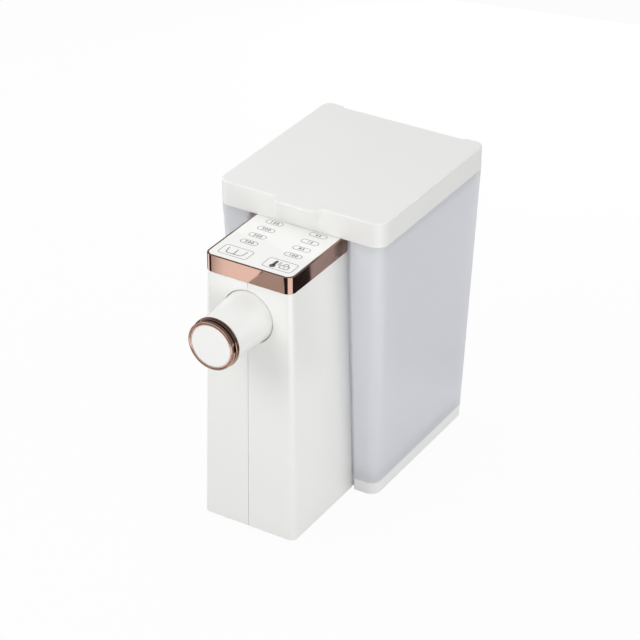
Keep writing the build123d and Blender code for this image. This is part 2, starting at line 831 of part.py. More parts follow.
with BuildPart() as lid_base:
    extrude(lid_sketch(lid_base_z, wall + seat_gap / 2), amount=lid_base_thickness)
    extrude(plug_sketch(lid_base_z - plug_depth, plug_gap), amount=plug_depth)
    extrude(
        plug_sketch(lid_base_z - plug_depth - overrun, plug_gap + plug_wall), amount=plug_depth + overrun,
        mode=Mode.SUBTRACT,
    )
    # Groove for the gasket
    groove_low_z = gasket_z - gasket_width / 2
    with BuildPart(mode=Mode.PRIVATE) as groove:
        extrude(plug_sketch(groove_low_z, 0), amount=gasket_width)
        extrude(plug_sketch(groove_low_z, plug_gap + gasket_groove), amount=gasket_width, mode=Mode.SUBTRACT)
    add(groove.part, mode=Mode.SUBTRACT)
    # Ribs that carry the cap's top
    rib_top_z = lid_top_z - wall - seat_gap
    for share in (-1, 0, 1):
        x = share * lid_width / 4
        bar(
            (x - lid_rib_thickness / 2, x + lid_rib_thickness / 2),
            (lid_front_y + 4 * wall, lid_rear_y - recess_depth - 4 * wall),
            (lid_base_z + lid_base_thickness, rib_top_z),
        )
save(lid_base, "lid_base")

# Lid gasket: a soft band in the plug's groove, just clear of the tank's wall
gasket_clear = 0.55
with BuildPart() as lid_gasket:
    gasket_low_z = gasket_z - gasket_width / 2 + seat_gap / 2
    extrude(plug_sketch(gasket_low_z, gasket_clear), amount=gasket_width - seat_gap)
    extrude(
        plug_sketch(gasket_low_z, plug_gap + gasket_groove - seat_gap / 2), amount=gasket_width - seat_gap,
        mode=Mode.SUBTRACT,
    )
save(lid_gasket, "lid_gasket")

# Panel band: a plated frame round the top of the column
band_width = column_top_width + 2 * band_proud
band_reach = column_top_reach + band_proud
band_corner = 7
band_rim = 1.5
band_edge = 0.4
band_wall = 2.2
panel_thickness = 1.8
panel_gap = 0.15
ledge_thickness = 1.6
ledge_width = 5
band_flange_thickness = 1.6
band_plug_depth = 4
band_plug_wall = 1.6
ear_r = 4.4
band_rear_y = column_rear_y(tank_top_z)
board_boss_r = 2.6
board_boss_height = 2.4
board_boss_inset = 7.5


def band_sketch(height, inset):
    front = lid_front_y - band_reach + inset
    rear = band_rear_y - inset
    with BuildSketch(Plane.XY.offset(height)) as outline:
        with Locations((0, (front + rear) / 2)):
            Rectangle(band_width - 2 * inset, rear - front)
        fillet(outline.vertices().group_by(Axis.Y)[0], max(band_corner - inset, seat_gap))
        fillet(outline.vertices().group_by(Axis.Y)[-1], max(column_rear_corner - inset, seat_gap))
    return outline.sketch


panel_base_z = band_top_z - panel_thickness
ledge_base_z = panel_base_z - ledge_thickness
touch_board_top_z = ledge_base_z - board_boss_height
upper_post_places = [(side * upper_post_x, y) for side in (-1, 1) for y in upper_post_ys]
band_front_y = lid_front_y - band_reach
touch_board_places = [
    (side * (band_width / 2 - board_boss_inset), y)
    for side in (-1, 1)
    for y in (band_front_y + 3 * board_boss_inset, band_rear_y - 3 * board_boss_inset)
]

with BuildPart() as panel_band:
    extrude(band_sketch(column_top_z, 0), amount=band_height)
    outer_edges = panel_band.edges().group_by(Axis.Z)[-1] + panel_band.edges().group_by(Axis.Z)[0]
    fillet(outer_edges, band_edge)
    # Pocket for the panel, the open middle, and the wider room under the ledge
    extrude(band_sketch(panel_base_z, band_rim), amount=panel_thickness + overrun, mode=Mode.SUBTRACT)
    extrude(
        band_sketch(column_top_z - overrun, band_rim + ledge_width), amount=band_height + overrun,
        mode=Mode.SUBTRACT,
    )
    flange_top_z = column_top_z + band_flange_thickness
    extrude(band_sketch(flange_top_z, band_wall), amount=ledge_base_z - flange_top_z, mode=Mode.SUBTRACT)
    # Plug that drops inside the shells
    plug_inset = wall + seat_gap
    with BuildPart(mode=Mode.PRIVATE) as plug:
        column_block(column_top_z - band_plug_depth, column_top_z, plug_inset)
        column_block(
            column_top_z - band_plug_depth - overrun, column_top_z + overrun, plug_inset + band_plug_wall,
            Mode.SUBTRACT,
        )
        plug_span = (column_top_z - band_plug_depth - overrun, column_top_z)
        for x, y in upper_post_places:
            rod(x, y, plug_span, post_r + seat_gap, Mode.SUBTRACT)
            rib_half = post_rib / 2 + seat_gap
            wall_x = sorted((x, x / abs(x) * column_top_width))
            bar(wall_x, (y - rib_half, y + rib_half), plug_span, Mode.SUBTRACT)
    add(plug.part)
    # Screw ears on the flange, and bosses under the ledge for the touch board
    for x, y in upper_post_places:
        rod(x, y, (column_top_z, flange_top_z), ear_r)
        rod(x, y, (column_top_z - overrun, flange_top_z + overrun), screw_shank_r + seat_gap, Mode.SUBTRACT)
    for x, y in touch_board_places:
        rod(x, y, (touch_board_top_z, ledge_base_z), board_boss_r)
save(panel_band, "panel_band")

# Band screws: from above through the ears into the shells' upper posts
band_screw_length = 10
with BuildPart() as band_screws:
    for x, y in upper_post_places:
        screw(Plane(origin=(x, y, flange_top_z), x_dir=(1, 0, 0), z_dir=(0, 1, 0)), band_screw_length)
save(band_screws, "band_screws")

# Touch panel: a flat white plate, flush in the band
with BuildPart() as touch_panel:
    extrude(band_sketch(panel_base_z, band_rim + panel_gap), amount=panel_thickness)
save(touch_panel, "touch_panel")

# Touch board: the circuit board under the panel, with a sensing pad under each key
touch_board_thickness = 1.2
pad_r = 3.4
pad_rows = 4
pad_column_x = 20
pad_first_setback = 5
key_pad_size = 9
key_front_inset = 13.85
key_pad_gap = 18.2
key_y = band_front_y + key_front_inset
pad_first_y = lid_front_y - pad_first_setback
pad_pitch = (pad_first_y - key_y - key_pad_gap) / (pad_rows - 1)
with BuildPart() as touch_board:
    board_outline = band_sketch(touch_board_top_z - touch_board_thickness, band_wall + ear_r)
    extrude(board_outline, amount=touch_board_thickness)
    for side in (-1, 1):
        for row in range(pad_rows):
            rod(
                side * pad_column_x, pad_first_y - row * pad_pitch,
                (touch_board_top_z, panel_base_z - seat_gap), pad_r,
            )
        with BuildSketch(Plane.XY.offset(touch_board_top_z)) as key_pad:
            with Locations((side * pad_column_x, key_y)):
                RectangleRounded(2 * key_pad_size, key_pad_size, pad_r / 2)
        extrude(key_pad.sketch, amount=panel_base_z - seat_gap - touch_board_top_z)
save(touch_board, "touch_board")

# Nose: the spout head, a flared white moulding whose flange sits behind the front wall
rim_depth = 2.8
button_travel = 1.2
travel_gap = 1.5
collar_length = 5.2
collar_front_y = nose_tip_y + rim_depth + travel_gap
nose_front_y = collar_front_y + collar_length
guide_depth = 4
bulkhead_thickness = 2
bulkhead_y = nose_front_y + guide_depth
outlet_setback = 21
outlet_y = nose_front_y + outlet_setback
outlet_hole_r = 7
flange_ring_low = nose_z - nose_flange_r
flange_ring_high = nose_z + nose_flange_r
nose_root_y = column_front_y(nose_z) + wall
button_skirt_r = 16.6
guide_gap = 0.4
switch_hole_r = 3
switch_boss_length = 3
switch_boss_r = 2
switch_boss_offset = 9
switch_board_r = 12
switch_board_thickness = 1.2
switch_back_y = bulkhead_y + bulkhead_thickness
board_front = switch_back_y + switch_boss_length
chamber_r = 14.5
chamber_front_y = board_front + switch_board_thickness + seat_gap
chamber_rib_length = 12
chamber_rib_thickness = 1.6
waist_share = 0.62
nose_plane = Plane((0, 0, nose_z))

with BuildPart() as nose_housing:
    # Outer skin with a slight flare towards the column
    with BuildSketch(nose_plane) as skin:
        with BuildLine():
            flare = (nose_base_r, nose_root_y)
            waist_y = between(nose_root_y, nose_front_y, waist_share)
            Line((0, nose_front_y), (nose_end_r, nose_front_y))
            Line((nose_end_r, nose_front_y), (nose_waist_r, waist_y))
            TangentArc(
                (nose_waist_r, waist_y), flare,
                tangent=(nose_waist_r - nose_end_r, waist_y - nose_front_y),
            )
            Line(flare, (0, nose_root_y))
            Line((0, nose_root_y), (0, nose_front_y))
        make_face()
    revolve(skin.sketch, axis=Axis(nose_plane.origin, (0, 1, 0)))
    # Flange that follows the tilt of the front wall
    with BuildPart(mode=Mode.PRIVATE) as flange:
        column_block(flange_ring_low, flange_ring_high, wall + seat_gap)
        column_block(
            flange_ring_low - overrun, flange_ring_high + overrun, wall + seat_gap + nose_flange_thickness,
            Mode.SUBTRACT,
        )
        nose_rod((nose_tip_y, nose_root_y + 2 * nose_flange_thickness), nose_flange_r, Mode.INTERSECT)
    add(flange.part)
    # Hollow behind the bulkhead, and the guide for the button in front of it
    turned(
        [
            (0, bulkhead_y + bulkhead_thickness), (nose_end_r - nose_wall, bulkhead_y + bulkhead_thickness),
            (nose_waist_r - nose_wall, waist_y), (nose_base_r - nose_wall, nose_root_y + overrun),
            (0, nose_root_y + overrun),
        ],
        nose_plane,
        Mode.SUBTRACT,
    )
    nose_rod((nose_tip_y, bulkhead_y), button_skirt_r + guide_gap, Mode.SUBTRACT)
    # Bosses for the switch board, and ribs that hold the steam chamber
    rib_reach = (chamber_r + seat_gap, nose_end_r - nose_wall / 2)
    rib_span = (chamber_front_y, chamber_front_y + chamber_rib_length)
    half_rib = chamber_rib_thickness / 2
    for side in (-1, 1):
        boss_span = (switch_back_y - bulkhead_thickness / 2, board_front)
        nose_rod(boss_span, switch_boss_r, x=side * switch_boss_offset)
        rib_x = sorted((side * rib_reach[0], side * rib_reach[1]))
        bar(rib_x, rib_span, (nose_z - half_rib, nose_z + half_rib))
    bar((-half_rib, half_rib), rib_span, (nose_z + rib_reach[0], nose_z + rib_reach[1]))
    nose_rod((bulkhead_y - overrun, bulkhead_y + overrun), switch_hole_r, Mode.SUBTRACT)
    # Outlet opening on the underside
    rod(0, outlet_y, (nose_z - 2 * nose_base_r, nose_z), outlet_hole_r, Mode.SUBTRACT)
save(nose_housing, "nose_housing")

# Collar: a stepped plated ring on the nose's end, round the button
collar_r = 21.1
collar_step_r = 20.6
collar_step_share = 0.5
collar_bore_r = button_skirt_r + guide_gap
collar_edge = 0.4
with BuildPart() as nose_collar:
    step_y = collar_front_y + collar_length * collar_step_share
    turned(
        [
            (collar_bore_r, collar_front_y), (collar_step_r - collar_edge, collar_front_y),
            (collar_step_r, collar_front_y + collar_edge), (collar_step_r, step_y),
            (collar_r - collar_edge, step_y), (collar_r, step_y + collar_edge),
            (collar_r, nose_front_y - collar_edge), (collar_r - collar_edge, nose_front_y),
            (collar_bore_r, nose_front_y),
        ],
        nose_plane,
    )
save(nose_collar, "nose_collar")

# Button: a white cap with a plated rim, which slides straight into the nose
button_face_r = 17.35
button_face_thickness = 1.8
button_skirt_wall = 1.6
rim_r = 20.4
rim_edge = 0.7
stem_r = 2.4
switch_rest_gap = 0.2
switch_tip_y = bulkhead_y + seat_gap
button_skirt_end_y = bulkhead_y - button_travel - seat_gap
stem_end_y = switch_tip_y - button_travel - switch_rest_gap
face_back_y = nose_tip_y + button_face_thickness

with BuildPart() as button_cap:
    turned(
        [
            (0, nose_tip_y), (button_face_r - seat_gap, nose_tip_y), (button_face_r, nose_tip_y + seat_gap),
            (button_face_r, face_back_y), (button_skirt_r, face_back_y), (button_skirt_r, button_skirt_end_y),
            (button_skirt_r - button_skirt_wall, button_skirt_end_y),
            (button_skirt_r - button_skirt_wall, face_back_y), (stem_r, face_back_y), (stem_r, stem_end_y),
            (0, stem_end_y),
        ],
        nose_plane,
    )
save(button_cap, "button_cap")

rim_fit = 0.1
with BuildPart() as button_rim:
    turned(
        [
            (button_face_r + rim_fit, nose_tip_y), (rim_r - rim_edge, nose_tip_y),
            (rim_r, nose_tip_y + rim_edge), (rim_r, nose_tip_y + rim_depth - seat_gap),
            (rim_r - seat_gap, nose_tip_y + rim_depth), (button_skirt_r + rim_fit, nose_tip_y + rim_depth),
            (button_skirt_r + rim_fit, face_back_y + rim_fit),
            (button_face_r + rim_fit, face_back_y + rim_fit),
        ],
        nose_plane,
    )
save(button_rim, "button_rim")

button_spring_r = 4.4
button_spring_wire_r = 0.4
button_spring_turns = 5
with BuildPart() as button_spring:
    spring_coil(
        (0, face_back_y, nose_z), (0, 1, 0), button_spring_r, button_spring_wire_r,
        bulkhead_y - face_back_y, button_spring_turns,
    )
save(button_spring, "button_spring")

# Button switch: a small push switch on its own round board behind the bulkhead
switch_body_half = 3.2
switch_tip_r = 1.7
with BuildPart() as button_switch:
    nose_rod((board_front, board_front + switch_board_thickness), switch_board_r)
    with BuildSketch(upright(0, board_front, nose_z)) as switch_body:
        Rectangle(2 * switch_body_half, 2 * switch_body_half)
    extrude(switch_body.sketch, amount=switch_boss_length - seat_gap)
    nose_rod((switch_tip_y, board_front), switch_tip_r)
save(button_switch, "button_switch")

# Steam chamber: the closed cup in the nose that lets steam part from the water
chamber_edge = 1.6
chamber_wall = 1.5
nozzle_bore_r = 3.2
chamber_rear_y = nose_root_y
spout_r = 4.6
spout_length = 5
chamber_spigot_end_y = chamber_rear_y + spigot_length
with BuildPart() as steam_chamber:
    turned(
        [
            (0, chamber_front_y), (chamber_r - chamber_edge, chamber_front_y),
            (chamber_r, chamber_front_y + chamber_edge), (chamber_r, chamber_rear_y - chamber_edge),
            (chamber_r - chamber_edge, chamber_rear_y), (0, chamber_rear_y),
        ],
        nose_plane,
    )
    nose_rod((chamber_rear_y - chamber_edge, chamber_spigot_end_y), spigot_r)
    rod(0, outlet_y, (nose_z - chamber_r - spout_length, nose_z), spout_r)
    # The space inside, with its inlet at the rear and its outlet below
    turned(
        [
            (0, chamber_front_y + chamber_wall), (chamber_r - chamber_wall, chamber_front_y + chamber_wall),
            (chamber_r - chamber_wall, chamber_rear_y - chamber_wall), (0, chamber_rear_y - chamber_wall),
        ],
        nose_plane,
        Mode.SUBTRACT,
    )
    bore_span = (chamber_rear_y - 2 * chamber_wall, chamber_spigot_end_y + overrun)
    nose_rod(bore_span, spigot_bore_r, Mode.SUBTRACT)
    rod(0, outlet_y, (nose_z - chamber_r - spout_length - overrun, nose_z), nozzle_bore_r, Mode.SUBTRACT)
save(steam_chamber, "steam_chamber")

# Outlet nozzle: a soft tip over the chamber's spout, in the nose's underside
nozzle_r = outlet_hole_r - seat_gap
nozzle_reach = 9.5
nozzle_tip_r = 5.4
nozzle_top_z = nose_z - chamber_r - seat_gap
nozzle_low_z = nozzle_top_z - nozzle_reach
spout_end_z = nose_z - chamber_r - spout_length - seat_gap
with BuildPart() as outlet_nozzle:
    turned(
        [
            (spout_r + rim_fit, nozzle_top_z), (spout_r + rim_fit, spout_end_z), (nozzle_bore_r, spout_end_z),
            (nozzle_bore_r, nozzle_low_z), (nozzle_tip_r, nozzle_low_z),
            (nozzle_r, nozzle_low_z + nozzle_reach / 3), (nozzle_r, nozzle_top_z),
        ],
        upright(0, outlet_y, 0),
    )
save(outlet_nozzle, "outlet_nozzle")

# Heater: a steel tube between two moulded end caps
cap_r = 17
cap_height = 9
cap_socket = 4
heater_top_z = heater_low_z + heater_length
with BuildPart() as heater_tube:
    rod(heater_x, heater_y, (heater_low_z, heater_top_z), heater_r)
    tube_span = (heater_low_z - overrun, heater_top_z + overrun)
    rod(heater_x, heater_y, tube_span, heater_r - heater_wall, Mode.SUBTRACT)
save(heater_tube, "heater_tube")


def heater_cap(facing):
    """facing is 1 for the upper cap and -1 for the lower one."""
    end_z = heater_top_z if facing > 0 else heater_low_z
    inner_r = heater_r - heater_wall - rim_fit
    outer_r = heater_r + rim_fit
    shoulder = cap_height + spigot_r
    profile = [
        (0, 0), (inner_r, 0), (inner_r, cap_socket), (outer_r, cap_socket), (outer_r, 0),
        (cap_r, 0), (cap_r, cap_height), (spigot_r * 2, shoulder), (spigot_r, shoulder),
        (spigot_r, cap_height + spigot_length), (0, cap_height + spigot_length),
    ]
    with BuildPart() as cap:
        turned(
            [(radius, facing * distance) for radius, distance in profile],
            upright(heater_x, heater_y, end_z - facing * cap_socket),
        )
        bore_span = sorted((end_z, end_z + facing * (cap_height + spigot_length + overrun)))
        rod(heater_x, heater_y, bore_span, spigot_bore_r, Mode.SUBTRACT)
    return cap


save(heater_cap(-1), "heater_inlet_cap")
save(heater_cap(1), "heater_outlet_cap")

# Heater clips: steel bands round the tube, each with a flat foot on the left shell's pad
with BuildPart() as heater_clips:
    for z in clip_zs:
        span = (z - clip_width / 2, z + clip_width / 2)
        rod(heater_x, heater_y, span, heater_r + seat_gap + clip_thickness)
        bar(
            (clip_foot_x, heater_x), (heater_y - clip_width, heater_y + clip_width), span,
        )
        rod(heater_x, heater_y, (span[0] - overrun, span[1] + overrun), heater_r + seat_gap, Mode.SUBTRACT)
save(heater_clips, "heater_clips")

# Safety thermostats: two snap discs clamped on the heater's tube, facing the boards
thermostat_r = 6.3
thermostat_height = 4
thermostat_shares = (0.38, 0.62)
terminal_length = 5
terminal_half = 2.4
with BuildPart() as thermostats:
    for share in thermostat_shares:
        z = between(heater_low_z, heater_top_z, share)
        face_x = heater_x + heater_r + seat_gap
        side_rod((face_x, face_x + thermostat_height), heater_y, z, thermostat_r)
        bar(
            (face_x + thermostat_height / 2, face_x + thermostat_height + terminal_length),
            (heater_y - terminal_half, heater_y + terminal_half),
            (z - rim_fit, z + seat_gap),
        )
save(thermostats, "thermostats")

# Power board: an upright circuit board on the right shell's stand-offs, with its tall parts
part_size_shares = (
    (0.04, 0.32, 0.10, 0.30, 1.00), (0.42, 0.74, 0.06, 0.20, 0.78), (0.30, 0.56, 0.42, 0.56, 0.70),
    (0.20, 0.60, 0.88, 0.96, 0.60),
)
capacitor_r = 5.5
capacitor_height = 15
capacitor_shares = ((0.72, 0.50), (0.72, 0.66))
tallest_part = 13
with BuildPart() as power_board:
    board_face = Plane(origin=(board_x, board_front_y, board_low_z), x_dir=(0, 1, 0), z_dir=(1, 0, 0))
    with BuildSketch(board_face) as board_outline:
        with Locations((board_depth / 2, board_height / 2)):
            RectangleRounded(board_depth, board_height, board_screw_inset / 2)
        with Locations(
            *[(y - board_front_y, z - board_low_z) for y, z in board_screw_places]
        ):
            Circle(screw_shank_r + seat_gap, mode=Mode.SUBTRACT)
    extrude(board_outline.sketch, amount=board_thickness)
    # Relay, transformer, filter block and connector row, then two capacitors
    for y_low, y_high, z_low, z_high, tall in part_size_shares:
        bar(
            (board_x - tallest_part * tall, board_x),
            (board_front_y + board_depth * y_low, board_front_y + board_depth * y_high),
            (board_low_z + board_height * z_low, board_low_z + board_height * z_high),
        )
    for y_share, z_share in capacitor_shares:
        side_rod(
            (board_x - capacitor_height, board_x), board_front_y + board_depth * y_share,
            board_low_z + board_height * z_share, capacitor_r,
        )
save(power_board, "power_board")

# Board screws: through the power board into the stand-offs
board_screw_length = 6
with BuildPart() as board_screws:
    for y, z in board_screw_places:
        screw(Plane(origin=(board_x, y, z), x_dir=(0, 1, 0), z_dir=(0, 0, -1)), board_screw_length)
save(board_screws, "board_screws")

# Heat sink: a finned aluminium block on the board for the power switch
sink_fin = 1.2
sink_fins = 5
sink_height = 22
sink_width = 14
sink_tall = 12
sink_base = 2.4
sink_y_share = 0.08
sink_z_share = 0.62
sink_low_z = board_low_z + board_height * sink_z_share
sink_front_y = board_front_y + board_depth * sink_y_share
with BuildPart() as heat_sink:
    sink_span = (sink_low_z, sink_low_z + sink_height)
    bar((board_x - sink_base, board_x), (sink_front_y, sink_front_y + sink_width), sink_span)
    fin_pitch = (sink_width - sink_fin) / (sink_fins - 1)
    for index in range(sink_fins):
        fin_y = sink_front_y + index * fin_pitch
        bar((board_x - sink_tall, board_x), (fin_y, fin_y + sink_fin), sink_span)
save(heat_sink, "heat_sink")

# Pump: motor can with its volute head
with BuildPart() as pump_housing:
    head_y = pump_y + pump_motor_length
    head_end_y = head_y + pump_head_length
    pump_plane = Plane((0, 0, pump_axis_z))
    pump_edge = 1.5
    turned(
        [
            (0, pump_y), (pump_r - pump_edge, pump_y), (pump_r, pump_y + pump_edge), (pump_r, head_y),
            (pump_head_r, head_y), (pump_head_r, head_end_y), (0, head_end_y),
        ],
        pump_plane,
    )
    outlet_x = impeller_r - spigot_bore_r
    outlet_axis_y = head_y + pump_head_length / 2
    rod(
        outlet_x, outlet_axis_y, (pump_axis_z, pump_axis_z + pump_head_r + pump_pipe_length), spigot_r,
    )
    nose_rod(
        (head_y + pump_head_length / 4, head_end_y + overrun), impeller_r + impeller_gap, Mode.SUBTRACT,
        z=pump_axis_z,
    )
    rod(
        outlet_x, outlet_axis_y, (pump_axis_z, pump_axis_z + pump_head_r + pump_pipe_length + overrun),
        spigot_bore_r, Mode.SUBTRACT,
    )
    nose_rod((head_y - pump_motor_length / 4, head_end_y), pump_shaft_r, Mode.SUBTRACT, z=pump_axis_z)
save(pump_housing, "pump_housing")

# Pump shaft: a steel pin fixed in the head
running_gap = 0.05
with BuildPart() as pump_shaft:
    nose_rod((head_y - pump_motor_length / 4, head_end_y - rim_fit), pump_shaft_r, z=pump_axis_z)
save(pump_shaft, "pump_shaft")

# Impeller: a disc with a hub and swept vanes
vane_count = 6
vane_thickness = 1
vane_height = 3.6
hub_r = 3.6
disc_thickness = 1.2
vane_sweep_share = 0.45
impeller_back_y = head_y + pump_head_length / 4 + impeller_gap / 2
with BuildPart() as impeller:
    nose_rod((impeller_back_y, impeller_back_y + disc_thickness), impeller_r, z=pump_axis_z)
    nose_rod((impeller_back_y, impeller_back_y + disc_thickness + vane_height), hub_r, z=pump_axis_z)
    vane_plane = Plane(
        origin=(0, impeller_back_y + disc_thickness, pump_axis_z), x_dir=(1, 0, 0), z_dir=(0, 1, 0)
    )
    with BuildSketch(vane_plane) as vanes:
        with PolarLocations(0, vane_count):
            with BuildLine():
                root, tip = hub_r - vane_thickness, impeller_r - vane_thickness / 2
                lead = tip * vane_sweep_share
                ThreePointArc((root, 0), ((root + tip) / 2, lead / 3), (tip, lead))
                Line((tip, lead), (tip - vane_thickness, lead))
                inner_middle = ((root + tip) / 2 - vane_thickness, lead / 3 + vane_thickness / 2)
                ThreePointArc((tip - vane_thickness, lead), inner_middle, (root, vane_thickness))
                Line((root, vane_thickness), (root, 0))
            make_face()
    extrude(vanes.sketch, amount=vane_height)
    nose_rod(
        (impeller_back_y, impeller_back_y + disc_thickness + vane_height), impeller_r, Mode.INTERSECT,
        z=pump_axis_z,
    )
    nose_rod(
        (impeller_back_y - overrun, head_end_y + overrun), pump_shaft_r + running_gap, Mode.SUBTRACT,
        z=pump_axis_z,
    )
save(impeller, "impeller")

# Pump cover: the head's end plate with the inlet spigot
with BuildPart() as pump_cover:
    cover_end_y = head_end_y + pump_cover_thickness
    turned(
        [
            (spigot_bore_r, head_end_y), (pump_head_r, head_end_y),
            (pump_head_r, cover_end_y - pump_edge / 2), (pump_head_r - pump_edge / 2, cover_end_y),
            (spigot_r, cover_end_y), (spigot_r, cover_end_y + spigot_length),
            (spigot_bore_r, cover_end_y + spigot_length),
        ],
        pump_plane,
    )
save(pump_cover, "pump_cover")

# Flow meter: an upright round housing on the pump's outlet, with a small turbine
meter_r = 8.5
meter_height = 12
meter_wall = 1.6
meter_bore_r = meter_r - meter_wall
meter_low_z = pump_axis_z + pump_head_r + pump_pipe_length
meter_cover_thickness = 2
meter_x, meter_y = outlet_x, outlet_axis_y
meter_floor = 2
axle_r = 0.8
axle_seat = 1
meter_top_z = meter_low_z + meter_height
port_r = 1.4
with BuildPart() as flow_meter:
    rod(meter_x, meter_y, (meter_low_z, meter_top_z), meter_r)
    rod(meter_x, meter_y, (meter_low_z + meter_floor, meter_top_z + overrun), meter_bore_r, Mode.SUBTRACT)
    with BuildSketch(Plane.XY.offset(meter_low_z)) as ports:
        with Locations((meter_x, meter_y)):
            with PolarLocations(axle_r + port_r + axle_r, 3):
                Circle(port_r / 2)
    extrude(ports.sketch, amount=meter_floor, mode=Mode.SUBTRACT)
    rod(meter_x, meter_y, (meter_low_z + meter_floor - axle_seat, meter_top_z), axle_r, Mode.SUBTRACT)
save(flow_meter, "flow_meter")

with BuildPart() as meter_axle:
    rod(
        meter_x, meter_y, (meter_low_z + meter_floor - axle_seat, meter_top_z + axle_seat), axle_r,
    )
save(meter_axle, "meter_axle")

turbine_blades = 5
turbine_hub_r = 2.4
turbine_gap = 0.6
blade_thickness = 1
turbine_low_z = meter_low_z + meter_floor + turbine_gap
turbine_high_z = meter_top_z - turbine_gap
with BuildPart() as turbine:
    rod(meter_x, meter_y, (turbine_low_z, turbine_high_z), turbine_hub_r)
    with BuildSketch(Plane.XY.offset(turbine_low_z)) as blades:
        with Locations((meter_x, meter_y)):
            with PolarLocations((meter_bore_r - turbine_gap) / 2, turbine_blades):
                Rectangle(meter_bore_r - turbine_gap, blade_thickness)
    extrude(blades.sketch, amount=turbine_high_z - turbine_low_z)
    rod(
        meter_x, meter_y, (turbine_low_z - overrun, turbine_high_z + overrun), axle_r + running_gap,
        Mode.SUBTRACT,
    )
save(turbine, "turbine")

with BuildPart() as meter_cover:
    meter_cover_top_z = meter_top_z + meter_cover_thickness
    turned(
        [
            (0, 0), (meter_r, 0), (meter_r, meter_cover_thickness), (spigot_r, meter_cover_thickness),
            (spigot_r, meter_cover_thickness + spigot_length), (0, meter_cover_thickness + spigot_length),
        ],
        upright(meter_x, meter_y, meter_top_z),
    )
    rod(
        meter_x, meter_y, (meter_top_z + axle_seat + rim_fit, meter_cover_top_z + spigot_length + overrun),
        spigot_bore_r, Mode.SUBTRACT,
    )
    rod(meter_x, meter_y, (meter_top_z, meter_top_z + axle_seat), axle_r, Mode.SUBTRACT)
save(meter_cover, "meter_cover")


def hose(points, radii):
    """A soft tube along straight runs joined by arcs, pushed over a spigot at each end."""
    with BuildLine(mode=Mode.PRIVATE) as route:
        FilletPolyline(*points, radius=radii)
    start = Plane(origin=route.line @ 0, z_dir=route.line % 0)
    with BuildSketch(start) as section:
        Circle(hose_r)
    sweep(section.sketch, path=route.line)
    with BuildSketch(start) as bore:
        Circle(hose_bore_r)
    sweep(bore.sketch, path=route.line, mode=Mode.SUBTRACT)


hose_bend_r = 7
hose_end_gap = seat_gap
deck_front_y = column_rear_y(column_base_z) - wall - post_inset
with BuildPart() as inlet_hose:
    rise_y = (deck_front_y - hose_r + cover_end_y + spigot_length) / 2
    lean = (deck_front_y - hose_r - cover_end_y - spigot_length) / 4
    hose(
        [
            (0, socket_y - socket_r - hose_end_gap, socket_spigot_z), (0, rise_y + lean, socket_spigot_z),
            (0, rise_y - lean, pump_axis_z), (0, cover_end_y + hose_end_gap, pump_axis_z),
        ],
        hose_bend_r,
    )
save(inlet_hose, "inlet_hose")

spigot_free = spigot_length - spigot_r
inlet_cap_end_z = heater_low_z + cap_socket - cap_height - spigot_length
outlet_cap_end_z = heater_top_z - cap_socket + cap_height + spigot_length
meter_spigot_end_z = meter_cover_top_z + spigot_length
with BuildPart() as heater_hose:
    hose(
        [
            (meter_x, meter_y, meter_cover_top_z + hose_end_gap),
            (meter_x, meter_y, meter_spigot_end_z + hose_bend_r),
            (heater_x, heater_y, inlet_cap_end_z - hose_bend_r),
            (heater_x, heater_y, inlet_cap_end_z + spigot_free - hose_end_gap),
        ],
        hose_bend_r,
    )
save(heater_hose, "heater_hose")

with BuildPart() as outlet_hose:
    hose(
        [
            (heater_x, heater_y, outlet_cap_end_z - spigot_free + hose_end_gap), (heater_x, heater_y, nose_z),
            (0, chamber_spigot_end_y + hose_bend_r, nose_z), (0, chamber_rear_y + hose_end_gap, nose_z),
        ],
        hose_bend_r,
    )
save(outlet_hose, "outlet_hose")
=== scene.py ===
import math

import bmesh
import bpy
from mathutils import Matrix, Vector


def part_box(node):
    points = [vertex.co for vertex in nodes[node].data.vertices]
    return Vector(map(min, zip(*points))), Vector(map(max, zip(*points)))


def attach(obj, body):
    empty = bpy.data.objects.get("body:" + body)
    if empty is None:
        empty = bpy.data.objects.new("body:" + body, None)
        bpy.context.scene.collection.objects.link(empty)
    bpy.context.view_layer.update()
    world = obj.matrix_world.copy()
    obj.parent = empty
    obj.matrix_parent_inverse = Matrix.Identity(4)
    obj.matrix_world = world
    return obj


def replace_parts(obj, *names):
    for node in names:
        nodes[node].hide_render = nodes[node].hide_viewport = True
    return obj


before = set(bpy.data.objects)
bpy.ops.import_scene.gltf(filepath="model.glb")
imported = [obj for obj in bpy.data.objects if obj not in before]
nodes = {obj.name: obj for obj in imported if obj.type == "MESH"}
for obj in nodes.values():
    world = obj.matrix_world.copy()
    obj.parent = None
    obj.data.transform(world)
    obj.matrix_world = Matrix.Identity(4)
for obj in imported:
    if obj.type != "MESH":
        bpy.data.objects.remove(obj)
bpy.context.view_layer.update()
mm = 0.001

# Camera: a long lens from the front right and above, as the photograph was taken.
# It was fitted to the object's straight edges, and the picture is square.
camera_data = bpy.data.cameras.new("camera")
camera_data.sensor_width = 36
camera_data.lens = 136.15
camera_pitch = math.radians(30.758)
camera_yaw = math.radians(31.492)
camera = bpy.data.objects.new("camera", camera_data)
camera.location = (0.87612, -1.41844, 1.13535)
camera.rotation_euler = (math.pi / 2 - camera_pitch, 0, camera_yaw)
bpy.context.scene.collection.objects.link(camera)
bpy.context.scene.camera = camera
bpy.context.scene.view_settings.view_transform = "Standard"


# Base plate: the floor of the column and of the tongue under the tank, injection moulded in
# grey ABS and screwed up into the shells. Its underside keeps the spark texture of the mould.
noise_low, noise_high = 0.3, 0.7  # Blender's noise keeps mostly between these values


def linear(colour):
    """An sRGB hex colour as linear red, green, blue and alpha."""
    shares = [int(colour[start:start + 2], 16) / 255 for start in (0, 2, 4)]
    return (*[s / 12.92 if s <= 0.04045 else ((s + 0.055) / 1.055) ** 2.4 for s in shares], 1)


